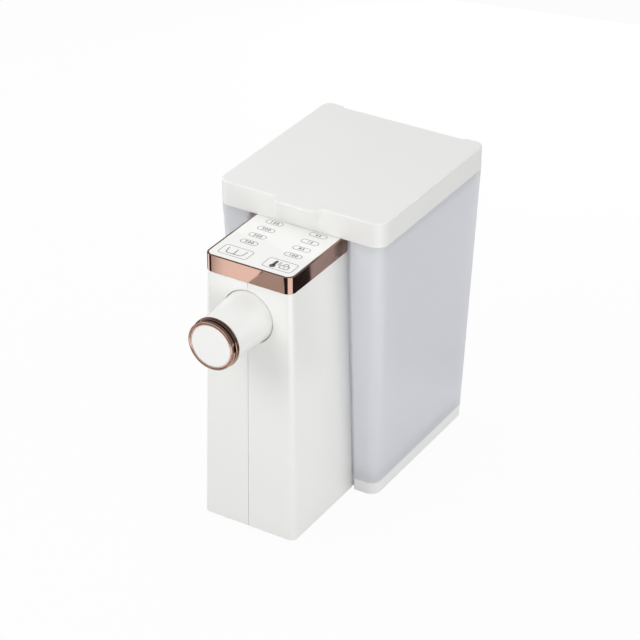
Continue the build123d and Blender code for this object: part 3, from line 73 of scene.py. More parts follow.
def add(tree, kind, settings=None, inputs=None):
    """Adds one node with its settings. Each input is a value, or a socket that it is linked from."""
    made = tree.nodes.new(kind)
    for name, value in (settings or {}).items():
        setattr(made, name, value)
    for name, value in (inputs or {}).items():
        if isinstance(value, bpy.types.NodeSocket):
            tree.links.new(value, made.inputs[name])
        else:
            made.inputs[name].default_value = value
    return made


def bare_material(name):
    """A material with an empty node tree."""
    material = bpy.data.materials.new(name)
    material.use_nodes = True
    material.node_tree.nodes.clear()
    return material, material.node_tree


def moulded(name, colour, ior, roughness, grain_mm, grain_height_mm, mottle_share=0.012):
    """Moulded plastic: the mould's grain in gloss and surface, and a slight unevenness of colour."""
    flow_mm = 60  # how far apart the flow of the melt leaves lighter and darker patches
    gloss_swing = 0.1
    material, tree = bare_material(name)
    place = add(tree, "ShaderNodeTexCoord").outputs["Object"]
    flow = add(tree, "ShaderNodeTexNoise", None, {"Vector": place, "Scale": 1 / (flow_mm * mm)})
    tone = add(tree, "ShaderNodeMapRange", None, {
        "Value": flow.outputs["Fac"], "From Min": noise_low, "From Max": noise_high,
        "To Min": 1 - mottle_share,
    })
    # A colour mix takes its two colours at inputs 6 and 7 and gives the result at output 2
    tinted = add(tree, "ShaderNodeMix", {"data_type": "RGBA", "blend_type": "MULTIPLY"}, {
        "Factor": 1, 6: linear(colour), 7: tone.outputs[0],
    })
    grain = add(tree, "ShaderNodeTexNoise", None, {
        "Vector": place, "Scale": 1 / (grain_mm * mm), "Detail": 3,
    })
    gloss = add(tree, "ShaderNodeMapRange", None, {
        "Value": grain.outputs["Fac"], "From Min": noise_low, "From Max": noise_high,
        "To Min": roughness * (1 - gloss_swing), "To Max": roughness * (1 + gloss_swing),
    })
    relief = add(tree, "ShaderNodeBump", None, {
        "Strength": 1, "Distance": grain_height_mm * mm, "Height": grain.outputs["Fac"],
    })
    skin = add(tree, "ShaderNodeBsdfPrincipled", None, {
        "Base Color": tinted.outputs[2], "Roughness": gloss.outputs[0], "IOR": ior,
        "Normal": relief.outputs[0],
    })
    add(tree, "ShaderNodeOutputMaterial", None, {"Surface": skin.outputs[0]})
    return material


def dress(material, *names):
    """Puts a material on CAD nodes."""
    for name in names:
        mesh = nodes[name].data
        mesh.materials.clear()
        mesh.materials.append(material)


# Spark-eroded mould: matt, with a grain that is drawn at 0.8 mm so that it shows
grey_abs = moulded("grey_abs_spark_textured", "c3c5c7", 1.53, 0.5, 0.8, 0.02)
dress(grey_abs, "base_plate")

# Rubber feet: four soft grey pads, compression moulded and pressed into the plate's recesses.
# They stand 1.2 mm proud of it, so that they alone touch the table.

# Moulded rubber: matt and slightly blotchy, with a grain drawn at 0.5 mm so that it shows
foot_rubber = moulded("foot_rubber_moulded", "7d7e80", 1.52, 0.8, 0.5, 0.03, 0.05)
dress(foot_rubber, "rubber_feet")

# Screws: pan-head self-tapping screws, cold formed in steel and zinc plated, with a cross
# recess. They are driven from below into the shells, from above through the band's ears,
# and from the side through the power board.
screw_head_r = 2.6 * mm
screw_head_height = 1.7 * mm
screw_shank_r = 1.3 * mm
screw_pitch = 1.1 * mm
thread_depth = 0.28 * mm
recess_arm = 1.25 * mm
recess_half_width = 0.36 * mm
recess_depth = 0.95 * mm
recess_floor_length, recess_floor_width = 0.5, 0.6  # shares of the recess's arm and width at its mouth
cutter_height = 1.3  # so that the cutter stands proud of the crown
head_shares = ((0, 1), (0.45, 0.99), (0.75, 0.9), (0.93, 0.68), (1, 0.4), (1, 0), (0, 0))
head_edge_share = 0.9
thread_power = 0.8  # under 1, so that the thread has a sharp crest
tip_share = 0.12  # how blunt the point stays
weld_gap = 0.001 * mm
screw_sides = 32
thread_steps = 12


def lathe(rings, sides):
    """A closed mesh turned round Z from (radius, height) rings; a ring of no radius is a point."""
    shape = bmesh.new()
    rows = []
    for radius, height in rings:
        if radius == 0:
            rows.append([shape.verts.new((0, 0, height))] * sides)
        else:
            angles = [2 * math.pi * side / sides for side in range(sides)]
            circle = [(radius * math.cos(angle), radius * math.sin(angle), height) for angle in angles]
            rows.append([shape.verts.new(spot) for spot in circle])
    for low, high in zip(rows, rows[1:]):
        for side in range(sides):
            after = (side + 1) % sides
            corners = list(dict.fromkeys((low[side], low[after], high[after], high[side])))
            if len(corners) > 2:
                shape.faces.new(corners)
    return shape


def as_mesh(name, shape):
    """Turns a mesh in work into mesh data, with its faces turned outwards."""
    mesh = bpy.data.meshes.new(name)
    bmesh.ops.recalc_face_normals(shape, faces=shape.faces)
    shape.to_mesh(mesh)
    shape.free()
    return mesh


def piece(name, shape, material, body, smooth_angle=30):
    """Turns a mesh in work into a piece that rides on a body."""
    mesh = as_mesh(name, shape)
    mesh.materials.append(material)
    made = bpy.data.objects.new(name, mesh)
    bpy.context.scene.collection.objects.link(made)
    mesh.shade_smooth()
    mesh.set_sharp_from_angle(angle=math.radians(smooth_angle))
    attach(made, body)
    return made


def cross_recess_head():
    """The screw's head on the plane z = 0, facing -Z, with its cross recess cut in."""
    crown = -screw_head_height
    head = lathe([(screw_head_r * out, crown * up) for out, up in head_shares], screw_sides)
    cutter = bmesh.new()
    mouth = (recess_arm, recess_half_width, crown * cutter_height)
    floor = (recess_arm * recess_floor_length, recess_half_width * recess_floor_width, crown + recess_depth)
    for turn in (0, math.pi / 2):
        corners = [
            cutter.verts.new(Matrix.Rotation(turn, 3, "Z") @ Vector((sx * x, sy * y, z)))
            for x, y, z in (mouth, floor)
            for sx, sy in ((-1, -1), (1, -1), (1, 1), (-1, 1))
        ]
        for face in ((0, 1, 2, 3), (4, 5, 6, 7), (0, 1, 5, 4), (1, 2, 6, 5), (2, 3, 7, 6), (3, 0, 4, 7)):
            cutter.faces.new([corners[i] for i in face])
    head_object = bpy.data.objects.new("screw_head", as_mesh("screw_head", head))
    cutter_object = bpy.data.objects.new("recess_cutter", as_mesh("recess_cutter", cutter))
    for made in (head_object, cutter_object):
        bpy.context.scene.collection.objects.link(made)
    cut = head_object.modifiers.new("cut", "BOOLEAN")
    cut.operation = "DIFFERENCE"
    cut.solver = "EXACT"
    cut.use_self = True
    cut.object = cutter_object
    bpy.context.view_layer.update()
    evaluated = head_object.evaluated_get(bpy.context.evaluated_depsgraph_get())
    result = bpy.data.meshes.new_from_object(evaluated)
    for made in (head_object, cutter_object):
        bpy.data.objects.remove(made)
    return result


def threaded_shank(length):
    """A shank with one rolled thread that runs out at its cone point."""
    shape = bmesh.new()
    rows = []
    count = math.ceil(length / screw_pitch * thread_steps)
    for row in range(count + 1):
        height = length * row / count
        taper = min(1, (length - height) / (2 * screw_shank_r) + tip_share)
        ring = []
        for side in range(screw_sides):
            wave = (height / screw_pitch - side / screw_sides) % 1
            radius = (screw_shank_r - thread_depth * abs(2 * wave - 1) ** thread_power) * taper
            angle = 2 * math.pi * side / screw_sides
            ring.append(shape.verts.new((radius * math.cos(angle), radius * math.sin(angle), height)))
        rows.append(ring)
    for low, high in zip(rows, rows[1:]):
        for side in range(screw_sides):
            after = (side + 1) % screw_sides
            shape.faces.new((low[side], low[after], high[after], high[side]))
    shape.faces.new(rows[0])
    shape.faces.new(rows[-1])
    return shape


def screws(name, material):
    """Screws in place of the node's plain ones, each set along its own solid's axis."""
    source = bmesh.new()
    source.from_mesh(nodes[name].data)
    bmesh.ops.remove_doubles(source, verts=source.verts, dist=weld_gap)
    head = cross_recess_head()
    group = bmesh.new()
    taken = set()
    for start in source.verts:
        if start in taken:
            continue
        solid = newest = {start}
        while newest:
            newest = {e.other_vert(v) for v in newest for e in v.link_edges} - solid
            solid = solid | newest
        taken |= solid
        low = Vector([min(v.co[axis] for v in solid) for axis in range(3)])
        high = Vector([max(v.co[axis] for v in solid) for axis in range(3)])
        along = max(range(3), key=lambda axis: high[axis] - low[axis])
        across = [axis for axis in range(3) if axis != along]
        middle = (low + high) / 2
        # Only the head reaches out this far, so it shows which end of the solid it is
        head_edge = [
            v.co[along] for v in solid
            if math.hypot(*(v.co[axis] - middle[axis] for axis in across)) > head_edge_share * screw_head_r
        ]
        facing = 1 if sum(head_edge) / len(head_edge) < middle[along] else -1
        seat = Vector(middle)
        seat[along] = (low if facing > 0 else high)[along] + facing * screw_head_height
        direction = Vector([facing if axis == along else 0 for axis in range(3)])
        placing = Matrix.Translation(seat) @ direction.to_track_quat("Z", "Y").to_matrix().to_4x4()
        shank = threaded_shank(high[along] - low[along] - screw_head_height)
        for part in (head, as_mesh("screw_shank", shank)):
            placed = part.copy()
            placed.transform(placing)
            group.from_mesh(placed)
    source.free()
    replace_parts(piece(name + "_cross", group, material, "root"), name)


def plated(name, colour, roughness, haze_mm):
    """Plated or drawn metal: a bright mirror with a faint haze from polishing."""
    gloss_swing = 0.15
    material, tree = bare_material(name)
    place = add(tree, "ShaderNodeTexCoord").outputs["Object"]
    haze = add(tree, "ShaderNodeTexNoise", None, {"Vector": place, "Scale": 1 / (haze_mm * mm)})
    gloss = add(tree, "ShaderNodeMapRange", None, {
        "Value": haze.outputs["Fac"], "From Min": noise_low, "From Max": noise_high,
        "To Min": roughness * (1 - gloss_swing), "To Max": roughness * (1 + gloss_swing),
    })
    skin = add(tree, "ShaderNodeBsdfPrincipled", None, {
        "Base Color": linear(colour), "Metallic": 1, "Roughness": gloss.outputs[0],
    })
    add(tree, "ShaderNodeOutputMaterial", None, {"Surface": skin.outputs[0]})
    return material


# Zinc plating: pale bluish grey metal with an uneven, soft shine in 1.5 mm patches
zinc = plated("steel_zinc_plated", "c9cbd0", 0.32, 1.5)
for name in ("base_screws", "band_screws", "board_screws"):
    screws(name, zinc)

# Tank deck and socket: the deck is a white tray that carries the tank, the socket a grey cup in
# its hole that the tank's valve drops into. Both are moulded ABS, held by screws and by the deck.

# Polished mould: a smooth satin white. What is left of the grain is drawn at 0.35 mm, because the
# real one is too fine to show.
white_abs = moulded("white_abs_moulded", "f1f1ef", 1.53, 0.3, 0.35, 0.0002, 0.006)
dress(white_abs, "tank_deck")
dress(grey_abs, "tank_socket")

# Cord bush: a grommet of black nylon that snaps into the deck's rear wall, where a cord comes in.
# It is moulded in one piece, and its bore is smooth.

# Moulded nylon: a slightly waxy black, with a soft grain drawn at 0.6 mm so that it shows
black_nylon = moulded("black_nylon_moulded", "1d1e20", 1.53, 0.45, 0.6, 0.01, 0.05)
dress(black_nylon, "cord_bush")

# Body shells: two halves of the column in white ABS with a polished mould's even gloss.
# They meet in a fine seam down the middle of the front.
dress(white_abs, "body_shell_left", "body_shell_right")

# Pump, flow meter and hoses: a small motor in a dark nylon can with a volute head, a turbine
# meter on its outlet, and silicone hoses pushed over spigots.

# Extruded silicone: milky and dull, with shallow waves of 1.2 mm left by the die
silicone = moulded("silicone_extruded", "dfe2e4", 1.43, 0.45, 1.2, 0.005)
# Drawn stainless steel: a fairly bright grey with a soft haze in 2 mm patches
drawn_steel = plated("stainless_steel_drawn", "bfc1c4", 0.25, 2)
dress(black_nylon, "pump_housing", "impeller")
dress(grey_abs, "pump_cover", "flow_meter", "meter_cover", "turbine")
dress(drawn_steel, "pump_shaft", "meter_axle")
dress(silicone, "inlet_hose", "heater_hose", "outlet_hose")

# Heater: a tube of drawn stainless steel between two moulded nylon caps, held by sprung steel
# clips, with two snap-disc thermostats clamped on it.
dress(drawn_steel, "heater_tube", "heater_clips")
dress(black_nylon, "heater_inlet_cap", "heater_outlet_cap", "thermostats")

# Boards: glass-epoxy circuit boards under green solder mask, with tinned tracks, and a finned
# aluminium extrusion that cools the power switch.
board_track_mm = 2.5
track_gap_share = 0.06

# Solder mask on glass epoxy: glossy dark green, with the tracks a shade lighter below it. The
# tracks are drawn 2.5 mm apart, because the real ones are too fine to show.
circuit_board, tree = bare_material("glass_epoxy_solder_masked")
place = add(tree, "ShaderNodeTexCoord").outputs["Object"]
tracks = add(tree, "ShaderNodeTexBrick", {"offset": 0.5}, {
    "Vector": place, "Scale": 1 / (board_track_mm * mm), "Mortar Size": track_gap_share,
    "Color1": linear("1f5a37"), "Color2": linear("236340"), "Mortar": linear("2e7a4c"),
})
skin = add(tree, "ShaderNodeBsdfPrincipled", None, {
    "Base Color": tracks.outputs["Color"], "Roughness": 0.3, "IOR": 1.55,
})
add(tree, "ShaderNodeOutputMaterial", None, {"Surface": skin.outputs[0]})
dress(circuit_board, "touch_board", "power_board")

# Extruded aluminium: a pale dull metal with a fine haze in 1 mm patches
extruded_aluminium = plated("aluminium_extruded", "cdced1", 0.38, 1)
dress(extruded_aluminium, "heat_sink")

# Spout head: the nose is the same white ABS as the shells, its flange trapped behind the front
# wall. Inside are the steam chamber, the switch and its board, and below is a soft nozzle.
dress(white_abs, "nose_housing", "button_cap")
dress(grey_abs, "steam_chamber")
dress(silicone, "outlet_nozzle")
dress(black_nylon, "button_switch")
dress(drawn_steel, "button_spring")

# Collar, button rim and panel band: moulded ABS plated in a rose-gold colour over nickel. The
# collar and the rim are pressed on, and the band is screwed down by ears inside the column.
ring_sides = 160
bands_depth = 3.4

# Rose-gold plating: a clean pinkish mirror, which shows the white floor and the painted dark
# reflections of the set's cards as stripes, with a faint haze in 8 mm patches
rose_gold = plated("rose_gold_plated_abs", "a98a7d", 0.085, 8)
dress(rose_gold, "panel_band")


def depth_of(node):
    """A node's length along the nose, in millimetres."""
    low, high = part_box(node)
    return (high.y - low.y) / mm


def ring_for(node, name, profile, material, body):
    """A ring round the nose in a node's place, from (radius, distance behind its front) in mm."""
    low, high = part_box(node)
    shape = lathe([(radius * mm, depth * mm) for radius, depth in profile + profile[:1]], ring_sides)
    bmesh.ops.remove_doubles(shape, verts=shape.verts, dist=weld_gap)
    place = Matrix.Translation((0, low.y, (low.z + high.z) / 2)) @ Matrix.Rotation(-math.pi / 2, 4, "X")
    bmesh.ops.transform(shape, verts=shape.verts, matrix=place)
    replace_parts(piece(name, shape, material, body), node)


# The rim's face has a slim raised edge round the cap, a groove, and a second edge at its outside
rim_depth = depth_of("button_rim")
rim_profile = [
    (17.35, 0.15), (17.5, 0), (18.2, 0), (18.5, 0.3), (18.8, 0.55), (19.05, 0.3), (19.4, 0.02), (19.8, 0),
    (20.15, 0.12), (20.35, 0.45), (20.4, 0.9), (20.4, rim_depth - 0.3), (20.2, rim_depth), (17.35, rim_depth),
]
ring_for("button_rim", "button_rim_ring", rim_profile, rose_gold, "button")

# The collar is two stepped bands with a groove between, in front of a short white sleeve
band_profile = [
    (17, 0), (19.8, 0), (20.2, 0.12), (20.5, 0.5), (20.55, 0.9), (20.3, 1.3), (19.6, 1.45), (19.6, 1.7),
    (20.5, 1.75), (20.9, 1.95), (21.1, 2.35), (21.1, 2.8), (20.9, 3.15), (20.5, 3.35), (20, bands_depth),
    (17, bands_depth),
]
collar_depth = depth_of("nose_collar")
sleeve_profile = [(17, bands_depth), (20, bands_depth), (20, collar_depth), (17, collar_depth)]
ring_for("nose_collar", "collar_bands", band_profile, rose_gold, "root")
ring_for("nose_collar", "collar_sleeve", sleeve_profile, white_abs, "root")

# Touch panel: cast acrylic, painted white from behind and laid flush into the band. The key
# outlines, numbers and signs on it are screen printed in grey ink.

# Polished cast acrylic: a clear gloss over white, with hardly a wave in it at 4 mm
acrylic = moulded("acrylic_cast_polished", "f4f4f2", 1.49, 0.09, 4, 0.001, 0.004)
dress(acrylic, "touch_panel")
band_low, band_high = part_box("panel_band")
print_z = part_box("touch_panel")[1].z
ink_height = 0.03 * mm
ink_line = 0.42 * mm
bold_line = 0.6 * mm
pill_length = 15 * mm
pill_width = 5.5 * mm
pill_xs = (-18.6 * mm, 21.2 * mm)
pill_ys = [band_low.y + setback * mm for setback in (68.35, 56.15, 43.95, 31.95)]
key_length = 25.6 * mm
key_width = 14 * mm
key_corner = 2.6 * mm
key_xs = (-19 * mm, 20.8 * mm)
key_y = band_low.y + 14.05 * mm
pill_numbers = (("150", "200", "300", "500"), ("45", "65", "85", "100"))
digit_height = 3 * mm
digit_share = 0.7  # how high a digit stands in the font's own size
digit_spacing = 1.3
digit_boldness = 0.1 * mm
same_spot = 0.001 * mm


def arc(centre, radius, start, end, steps=10):
    """Points along an arc between two angles in degrees."""
    angles = [math.radians(start + (end - start) * step / steps) for step in range(steps + 1)]
    return [(centre[0] + radius * math.cos(a), centre[1] + radius * math.sin(a)) for a in angles]


def rounded(centre, length, width, corner):
    """The points of a rounded rectangle."""
    x, y = length / 2 - corner, width / 2 - corner
    points = []
    for sx, sy, start in ((1, 1, 0), (-1, 1, 90), (-1, -1, 180), (1, -1, 270)):
        points += arc((centre[0] + sx * x, centre[1] + sy * y), corner, start, start + 90)
    return points


def ink_stroke(shape, points, line=ink_line, closed=False):
    """A flat printed line along points, mitred at its corners."""
    spots = [Vector(point) for point in points]
    spots = [s for i, s in enumerate(spots) if i == 0 or (s - spots[i - 1]).length > same_spot]
    if closed and (spots[0] - spots[-1]).length < same_spot:
        spots.pop()
    rails = []
    for i, spot in enumerate(spots):
        before = spots[i - 1] if closed or i else spot
        after = spots[(i + 1) % len(spots)] if closed or i < len(spots) - 1 else spot
        arriving = (spot - before) if spot != before else (after - spot)
        leaving = (after - spot) if after != spot else (spot - before)
        heading = (arriving.normalized() + leaving.normalized()).normalized()
        across = Vector((-heading.y, heading.x))
        reach = line / 2 / max(0.5, across.dot(Vector((-leaving.y, leaving.x)).normalized()))
        rails.append([shape.verts.new((*(spot + side * across * reach), print_z)) for side in (-1, 1)])
    pairs = list(zip(rails, rails[1:])) + ([(rails[-1], rails[0])] if closed else [])
    for (low_a, high_a), (low_b, high_b) in pairs:
        shape.faces.new((low_a, low_b, high_b, high_a))


def ink_fill(shape, points):
    """A filled printed area."""
    shape.faces.new([shape.verts.new((*point, print_z)) for point in points])


def ink_number(shape, text, centre, height):
    """A printed number, centred."""
    lettering = bpy.data.curves.new("number", "FONT")
    lettering.body = text
    lettering.size = height / digit_share
    lettering.space_character = digit_spacing
    lettering.offset = digit_boldness
    lettering.align_x = "CENTER"
    lettering.align_y = "CENTER"
    letters = bpy.data.objects.new("number", lettering)
    bpy.context.scene.collection.objects.link(letters)
    letters.location = (*centre, print_z)
    bpy.context.view_layer.update()
    evaluated = letters.evaluated_get(bpy.context.evaluated_depsgraph_get())
    mesh = bpy.data.meshes.new_from_object(evaluated)
    mesh.transform(letters.matrix_world)
    shape.from_mesh(mesh)
    bpy.data.objects.remove(letters)


print_shape = bmesh.new()
for pill_x, key_x, numbers in zip(pill_xs, key_xs, pill_numbers):
    for pill_y, number in zip(pill_ys, numbers):
        centre = (pill_x, pill_y)
        ink_stroke(print_shape, rounded(centre, pill_length, pill_width, pill_width / 2), closed=True)
        ink_number(print_shape, number, centre, digit_height)
    key = rounded((key_x, key_y), key_length, key_width, key_corner)
    ink_stroke(print_shape, key, closed=True)

# Cup on the left key: a wide open bowl with a stroke up its middle
cup_x, cup_y = key_xs[0], key_y
cup_half, cup_deep, cup_corner = 8.2 * mm, 8 * mm, 2.6 * mm
cup_line = 0.7 * mm
cup_lean = 0.3 * cup_corner  # how far each wall leans in towards its bend
cup_mark_share = 0.45
cup_low, cup_high = cup_y - cup_deep / 2, cup_y + cup_deep / 2
bend_x = cup_half - cup_corner - cup_lean
ink_stroke(
    print_shape,
    [(cup_x - cup_half, cup_high)]
    + arc((cup_x - bend_x, cup_low + cup_corner), cup_corner, 180, 270)
    + arc((cup_x + bend_x, cup_low + cup_corner), cup_corner, 270, 360)
    + [(cup_x + cup_half, cup_high)],
    cup_line,
)
ink_stroke(print_shape, [(cup_x, cup_low), (cup_x, cup_y + cup_deep * cup_mark_share)], cup_line)

# Thermometer on the right key: a filled bulb and stem with three marks
stem_x, stem_low, stem_high = 15.8 * mm, key_y - 2.4 * mm, key_y + 5 * mm
stem_half, bulb_r, bulb_drop = 1.4 * mm, 2.5 * mm, 1 * mm
mark_pitch, mark_line = 1.9 * mm, 0.8 * mm
ink_fill(print_shape, arc((stem_x, stem_low - bulb_drop), bulb_r, 120, 420, 24))
ink_fill(
    print_shape,
    [(stem_x - stem_half, stem_low), (stem_x + stem_half, stem_low)]
    + arc((stem_x, stem_high - stem_half), stem_half, 0, 180),
)
for step in range(3):
    mark_y = stem_high - stem_half - step * mark_pitch
    mark = [(stem_x + 2 * stem_half, mark_y), (stem_x + 3.4 * stem_half, mark_y)]
    ink_stroke(print_shape, mark, mark_line)

# Padlock beside it: a body outline with its shackle and a keyhole
lock_x, lock_y = 25.2 * mm, key_y - 1.5 * mm
lock_half, lock_deep, lock_corner = 3.7 * mm, 4.4 * mm, 0.8 * mm
shackle_r, shackle_rise = 1.9 * mm, 1.1 * mm
keyhole_half = 0.9 * mm
lock_top = lock_y + lock_deep / 2
lock_outline = rounded((lock_x, lock_y), 2 * lock_half, lock_deep, lock_corner)
ink_stroke(print_shape, lock_outline, bold_line, closed=True)
ink_stroke(
    print_shape,
    [(lock_x + shackle_r, lock_top)]
    + arc((lock_x, lock_top + shackle_rise), shackle_r, 0, 180, 14)
    + [(lock_x - shackle_r, lock_top)],
    bold_line,
)
ink_stroke(print_shape, [(lock_x, lock_y - keyhole_half), (lock_x, lock_y + keyhole_half)], bold_line)
raised = bmesh.ops.extrude_face_region(print_shape, geom=print_shape.faces[:])
raised_verts = [v for v in raised["geom"] if isinstance(v, bmesh.types.BMVert)]
bmesh.ops.translate(print_shape, vec=(0, 0, ink_height), verts=raised_verts)

# Screen-printed ink: a thin matt grey film, slightly uneven at the 0.25 mm of the screen's mesh
printed_ink, tree = bare_material("grey_ink_screen_printed")
place = add(tree, "ShaderNodeTexCoord").outputs["Object"]
ink_mesh_mm = 0.25
density = add(tree, "ShaderNodeTexNoise", None, {"Vector": place, "Scale": 1 / (ink_mesh_mm * mm)})
shade = add(tree, "ShaderNodeMix", {"data_type": "RGBA"}, {
    "Factor": density.outputs["Fac"], 6: linear("55565a"), 7: linear("66676b"),
})
skin = add(tree, "ShaderNodeBsdfPrincipled", None, {
    "Base Color": shade.outputs[2], "Roughness": 0.6, "IOR": 1.5,
})
add(tree, "ShaderNodeOutputMaterial", None, {"Surface": skin.outputs[0]})
piece("panel_print", print_shape, printed_ink, "root")

# Tank: one deep tapered moulding in milky copolyester, with a raised floor, a skirt below it and
# an arch at the rear. It stands on the deck and lifts off.
wall_tint = linear("f7f8fb")
skirt_tint = linear("f9f9fa")
through_share = 0.45
skirt_through_share = 0.08
clear_share = 0.14
skirt_top_mm = 12.5
blend_below_mm, blend_above_mm = 1, 0.5
tank_grain_mm = 0.7

# Milky copolyester, moulded: the walls glow with the light behind them and blur what they hide,
# and below 12.5 mm the foot of the skirt is drawn whiter and less see-through. The grain is drawn at 0.7 mm
# so that it shows.
milky, tree = bare_material("copolyester_milky_moulded")
place = add(tree, "ShaderNodeTexCoord").outputs["Object"]
height = add(tree, "ShaderNodeSeparateXYZ", None, {"Vector": place}).outputs["Z"]
above_skirt = add(tree, "ShaderNodeMapRange", {"interpolation_type": "SMOOTHSTEP"}, {
    "Value": height,
    "From Min": (skirt_top_mm - blend_below_mm) * mm, "From Max": (skirt_top_mm + blend_above_mm) * mm,
}).outputs[0]
clear_here = add(tree, "ShaderNodeMath", {"operation": "MULTIPLY"}, {0: above_skirt, 1: clear_share})
through_here = add(tree, "ShaderNodeMapRange", None, {
    "Value": above_skirt, "To Min": skirt_through_share, "To Max": through_share,
})
tint = add(tree, "ShaderNodeMix", {"data_type": "RGBA"}, {
    "Factor": above_skirt, 6: skirt_tint, 7: wall_tint,
}).outputs[2]
grain = add(tree, "ShaderNodeTexNoise", None, {
    "Vector": place, "Scale": 1 / (tank_grain_mm * mm), "Detail": 3,
})
gloss = add(tree, "ShaderNodeMapRange", None, {
    "Value": grain.outputs["Fac"], "To Min": 0.3, "To Max": 0.4,
})
wall = add(tree, "ShaderNodeBsdfPrincipled", None, {
    "Base Color": tint, "Roughness": gloss.outputs[0], "IOR": 1.57,
})
through = add(tree, "ShaderNodeBsdfTranslucent", None, {"Color": tint})
clear = add(tree, "ShaderNodeBsdfTransparent", None, {"Color": (1, 1, 1, 1)})
milk = add(tree, "ShaderNodeMixShader", None, {
    "Fac": through_here.outputs[0], 1: wall.outputs[0], 2: through.outputs[0],
})
mixed = add(tree, "ShaderNodeMixShader", None, {
    "Fac": clear_here.outputs[0], 1: milk.outputs[0], 2: clear.outputs[0],
})
add(tree, "ShaderNodeOutputMaterial", None, {"Surface": mixed.outputs[0]})
dress(milky, "tank")

# Tank valve: a grey body through the tank's floor with its nut and filter cup inside, a sprung
# plunger, and a rubber seal that closes in the socket.

# Moulded rubber: a dark dull grey, with a grain drawn at 0.4 mm so that it shows
valve_rubber = moulded("seal_rubber_moulded", "3c3d40", 1.52, 0.6, 0.4, 0.01, 0.04)
dress(grey_abs, "valve_body", "valve_nut", "filter_cap", "valve_plunger")
dress(valve_rubber, "valve_seal")
dress(drawn_steel, "valve_spring")

# Lid: a cap with a finger lip, moulded in white ABS and closed below by a plate. The plate's plug
# carries a soft gasket and holds the lid in the tank's mouth.

# Blasted mould: a shade greyer and duller than the column, with its grain drawn at 0.6 mm
lid_abs = moulded("white_abs_fine_blasted", "ededeb", 1.53, 0.42, 0.6, 0.002)
dress(lid_abs, "lid_shell", "lid_base")
dress(silicone, "lid_gasket")

# Floor: a sweep of white paper under the object. To the lens it is nearly pure white, as an
# overlit sweep is, and it keeps a faint shadow. Mirrors see it as white too.
floor_half = 6
floor_glow = 1.02
glow_share_for_lens = 0.93
glow_share_for_mirrors = 0.9
floor_shape = bpy.data.meshes.new("studio_floor")
floor_shape.from_pydata(
    [(x * floor_half, y * floor_half, 0) for x, y in ((-1, -1), (1, -1), (1, 1), (-1, 1))], [], [(0, 1, 2, 3)]
)
studio_floor = bpy.data.objects.new("studio_floor", floor_shape)
bpy.context.scene.collection.objects.link(studio_floor)

# Paper: matt and even, a pale grey that the light brings up to white
white_paper, tree = bare_material("white_paper_sweep")
path = add(tree, "ShaderNodeLightPath")
paper = add(tree, "ShaderNodeBsdfDiffuse", None, {"Color": linear("b6b6b5")})
glow = add(tree, "ShaderNodeEmission", None, {"Color": (1, 1, 1, 1), "Strength": floor_glow})
seen = add(tree, "ShaderNodeMath", {"operation": "MULTIPLY"}, {
    0: path.outputs["Is Camera Ray"], 1: glow_share_for_lens,
})
mirrored = add(tree, "ShaderNodeMath", {"operation": "MULTIPLY"}, {
    0: path.outputs["Is Glossy Ray"], 1: glow_share_for_mirrors,
})
either = add(tree, "ShaderNodeMath", {"operation": "MAXIMUM"}, {0: seen.outputs[0], 1: mirrored.outputs[0]})
mixed = add(tree, "ShaderNodeMixShader", None, {
    "Fac": either.outputs[0], 1: paper.outputs[0], 2: glow.outputs[0],
})
add(tree, "ShaderNodeOutputMaterial", None, {"Surface": mixed.outputs[0]})
floor_shape.materials.append(white_paper)

# Painted reflections: black and white cards that lie on the floor round the object and show only
# in the plating, where they paint dark and bright stripes. Each spans two bearings from a front
# corner of the panel band, in degrees from -Y towards +X, and each gives the band and the rings one
# painted dark or one painted bright stripe.
card_reach = (0.27, 1.1)
card_height = 1.5 * mm
# How brightly the painted bright reflections glow
bright_reflection_glow = 1.95
right_corner = (band_high.x, band_low.y)
left_corner = (band_low.x, band_low.y)


def card(name, corner, bearings, surface):
    """A card between two bearings from a corner, seen only by mirrors."""
    shape = bpy.data.meshes.new(name)
    turns = [math.radians(bearing) for bearing in range(bearings[0], bearings[1] + 1, 2)]
    near, far = [
        [(corner[0] + r * math.sin(turn), corner[1] - r * math.cos(turn), card_height) for turn in turns]
        for r in card_reach
    ]
    count = len(turns)
    shape.from_pydata(near + far, [], [(i, i + 1, count + i + 1, count + i) for i in range(count - 1)])
    shape.materials.append(surface)
    made = bpy.data.objects.new(name, shape)
    bpy.context.scene.collection.objects.link(made)
    made.visible_camera = False
    made.visible_diffuse = False
    made.visible_shadow = False
    made.visible_transmission = False


# Painted dark reflection: a dull near-black card that the lamps lift to dark grey, seen only in mirrors
dark_reflection_card, tree = bare_material("painted_dark_reflection_cloth")
painted_dark = add(tree, "ShaderNodeBsdfDiffuse", None, {"Color": linear("363434")})
add(tree, "ShaderNodeOutputMaterial", None, {"Surface": painted_dark.outputs[0]})

# Painted bright reflection: a card that glows brighter than the paper, though it is no lamp, seen only in
# mirrors
bright_reflection_card, tree = bare_material("painted_bright_reflection_glow")
painted_glow = add(tree, "ShaderNodeEmission", None, {"Color": (1, 1, 1, 1), "Strength": bright_reflection_glow})
add(tree, "ShaderNodeOutputMaterial", None, {"Surface": painted_glow.outputs[0]})
# These four cards paint the dark stripes of reflection
card("painted_dark_reflection_front", right_corner, (-23, 23), dark_reflection_card)
card("painted_dark_reflection_right_rear", right_corner, (87, 201), dark_reflection_card)
card("painted_dark_reflection_front_left", left_corner, (-66, -34), dark_reflection_card)
card("painted_dark_reflection_left_rear", left_corner, (-147, -101), dark_reflection_card)
# These three cards paint the bright stripes of reflection
card("painted_bright_reflection_front_left", left_corner, (-33, -11), bright_reflection_card)
card("painted_bright_reflection_left", left_corner, (-100, -68), bright_reflection_card)
card("painted_bright_reflection_right", right_corner, (25, 85), bright_reflection_card)

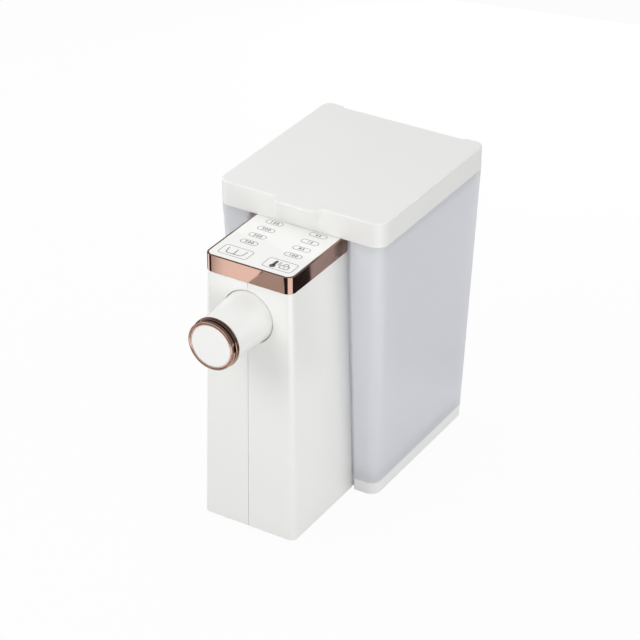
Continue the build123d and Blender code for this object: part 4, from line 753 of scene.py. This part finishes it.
# Studio air: even white light from all round. Mirrors see a dim room instead, as in a dark
# studio, so that plated parts keep their contrast.
room_light = 0.61
room_in_mirrors = 0.32
world = bpy.data.worlds.new("studio")
bpy.context.scene.world = world
world.use_nodes = True
tree = world.node_tree
tree.nodes.clear()
path = add(tree, "ShaderNodeLightPath")
by_mirror = add(tree, "ShaderNodeMix", {"data_type": "FLOAT"}, {
    "Factor": path.outputs["Is Glossy Ray"], 2: room_light, 3: room_in_mirrors,
})
by_lens = add(tree, "ShaderNodeMix", {"data_type": "FLOAT"}, {
    "Factor": path.outputs["Is Camera Ray"], 2: by_mirror.outputs[0], 3: 1,
})
air = add(tree, "ShaderNodeBackground", None, {"Color": (1, 1, 1, 1), "Strength": by_lens.outputs[0]})
add(tree, "ShaderNodeOutputWorld", None, {"Surface": air.outputs[0]})

# Softboxes: seven square lamps round the object. Most of the light on the column comes from the
# front and the right, and a low one behind the tank lights its inside through the rear wall.
object_middle = (0, 0, 0.15)
tank_middle = (0, 0.07, 0.13)


def softbox(name, place, aim, size, watts):
    """A square softbox in metres and watts that points at a spot and shows in no mirror."""
    lamp = bpy.data.lights.new(name, "AREA")
    lamp.shape = "SQUARE"
    lamp.size = size
    lamp.energy = watts
    box = bpy.data.objects.new(name, lamp)
    box.location = place
    box.rotation_euler = (Vector(place) - Vector(aim)).to_track_quat("Z", "Y").to_euler()
    box.visible_camera = False
    box.visible_glossy = False
    bpy.context.scene.collection.objects.link(box)


softbox("softbox_front_left", (-0.3, -0.75, 0.75), object_middle, 0.5, 2.5)
softbox("softbox_right", (0.8, -0.25, 0.65), object_middle, 0.5, 0.95)
softbox("softbox_front_right_low", (0.75, -0.95, 0.3), object_middle, 0.6, 3.15)
softbox("softbox_right_rear", (1, 0.45, 0.5), object_middle, 0.6, 2.2)
softbox("softbox_left", (-1.2, 0.1, 0.8), object_middle, 0.9, 6.5)
softbox("softbox_top", (-0.1, 0.15, 1.3), object_middle, 0.8, 0.7)
softbox("softbox_rear_low", (-0.2, 0.95, 0.16), tank_middle, 0.35, 5)
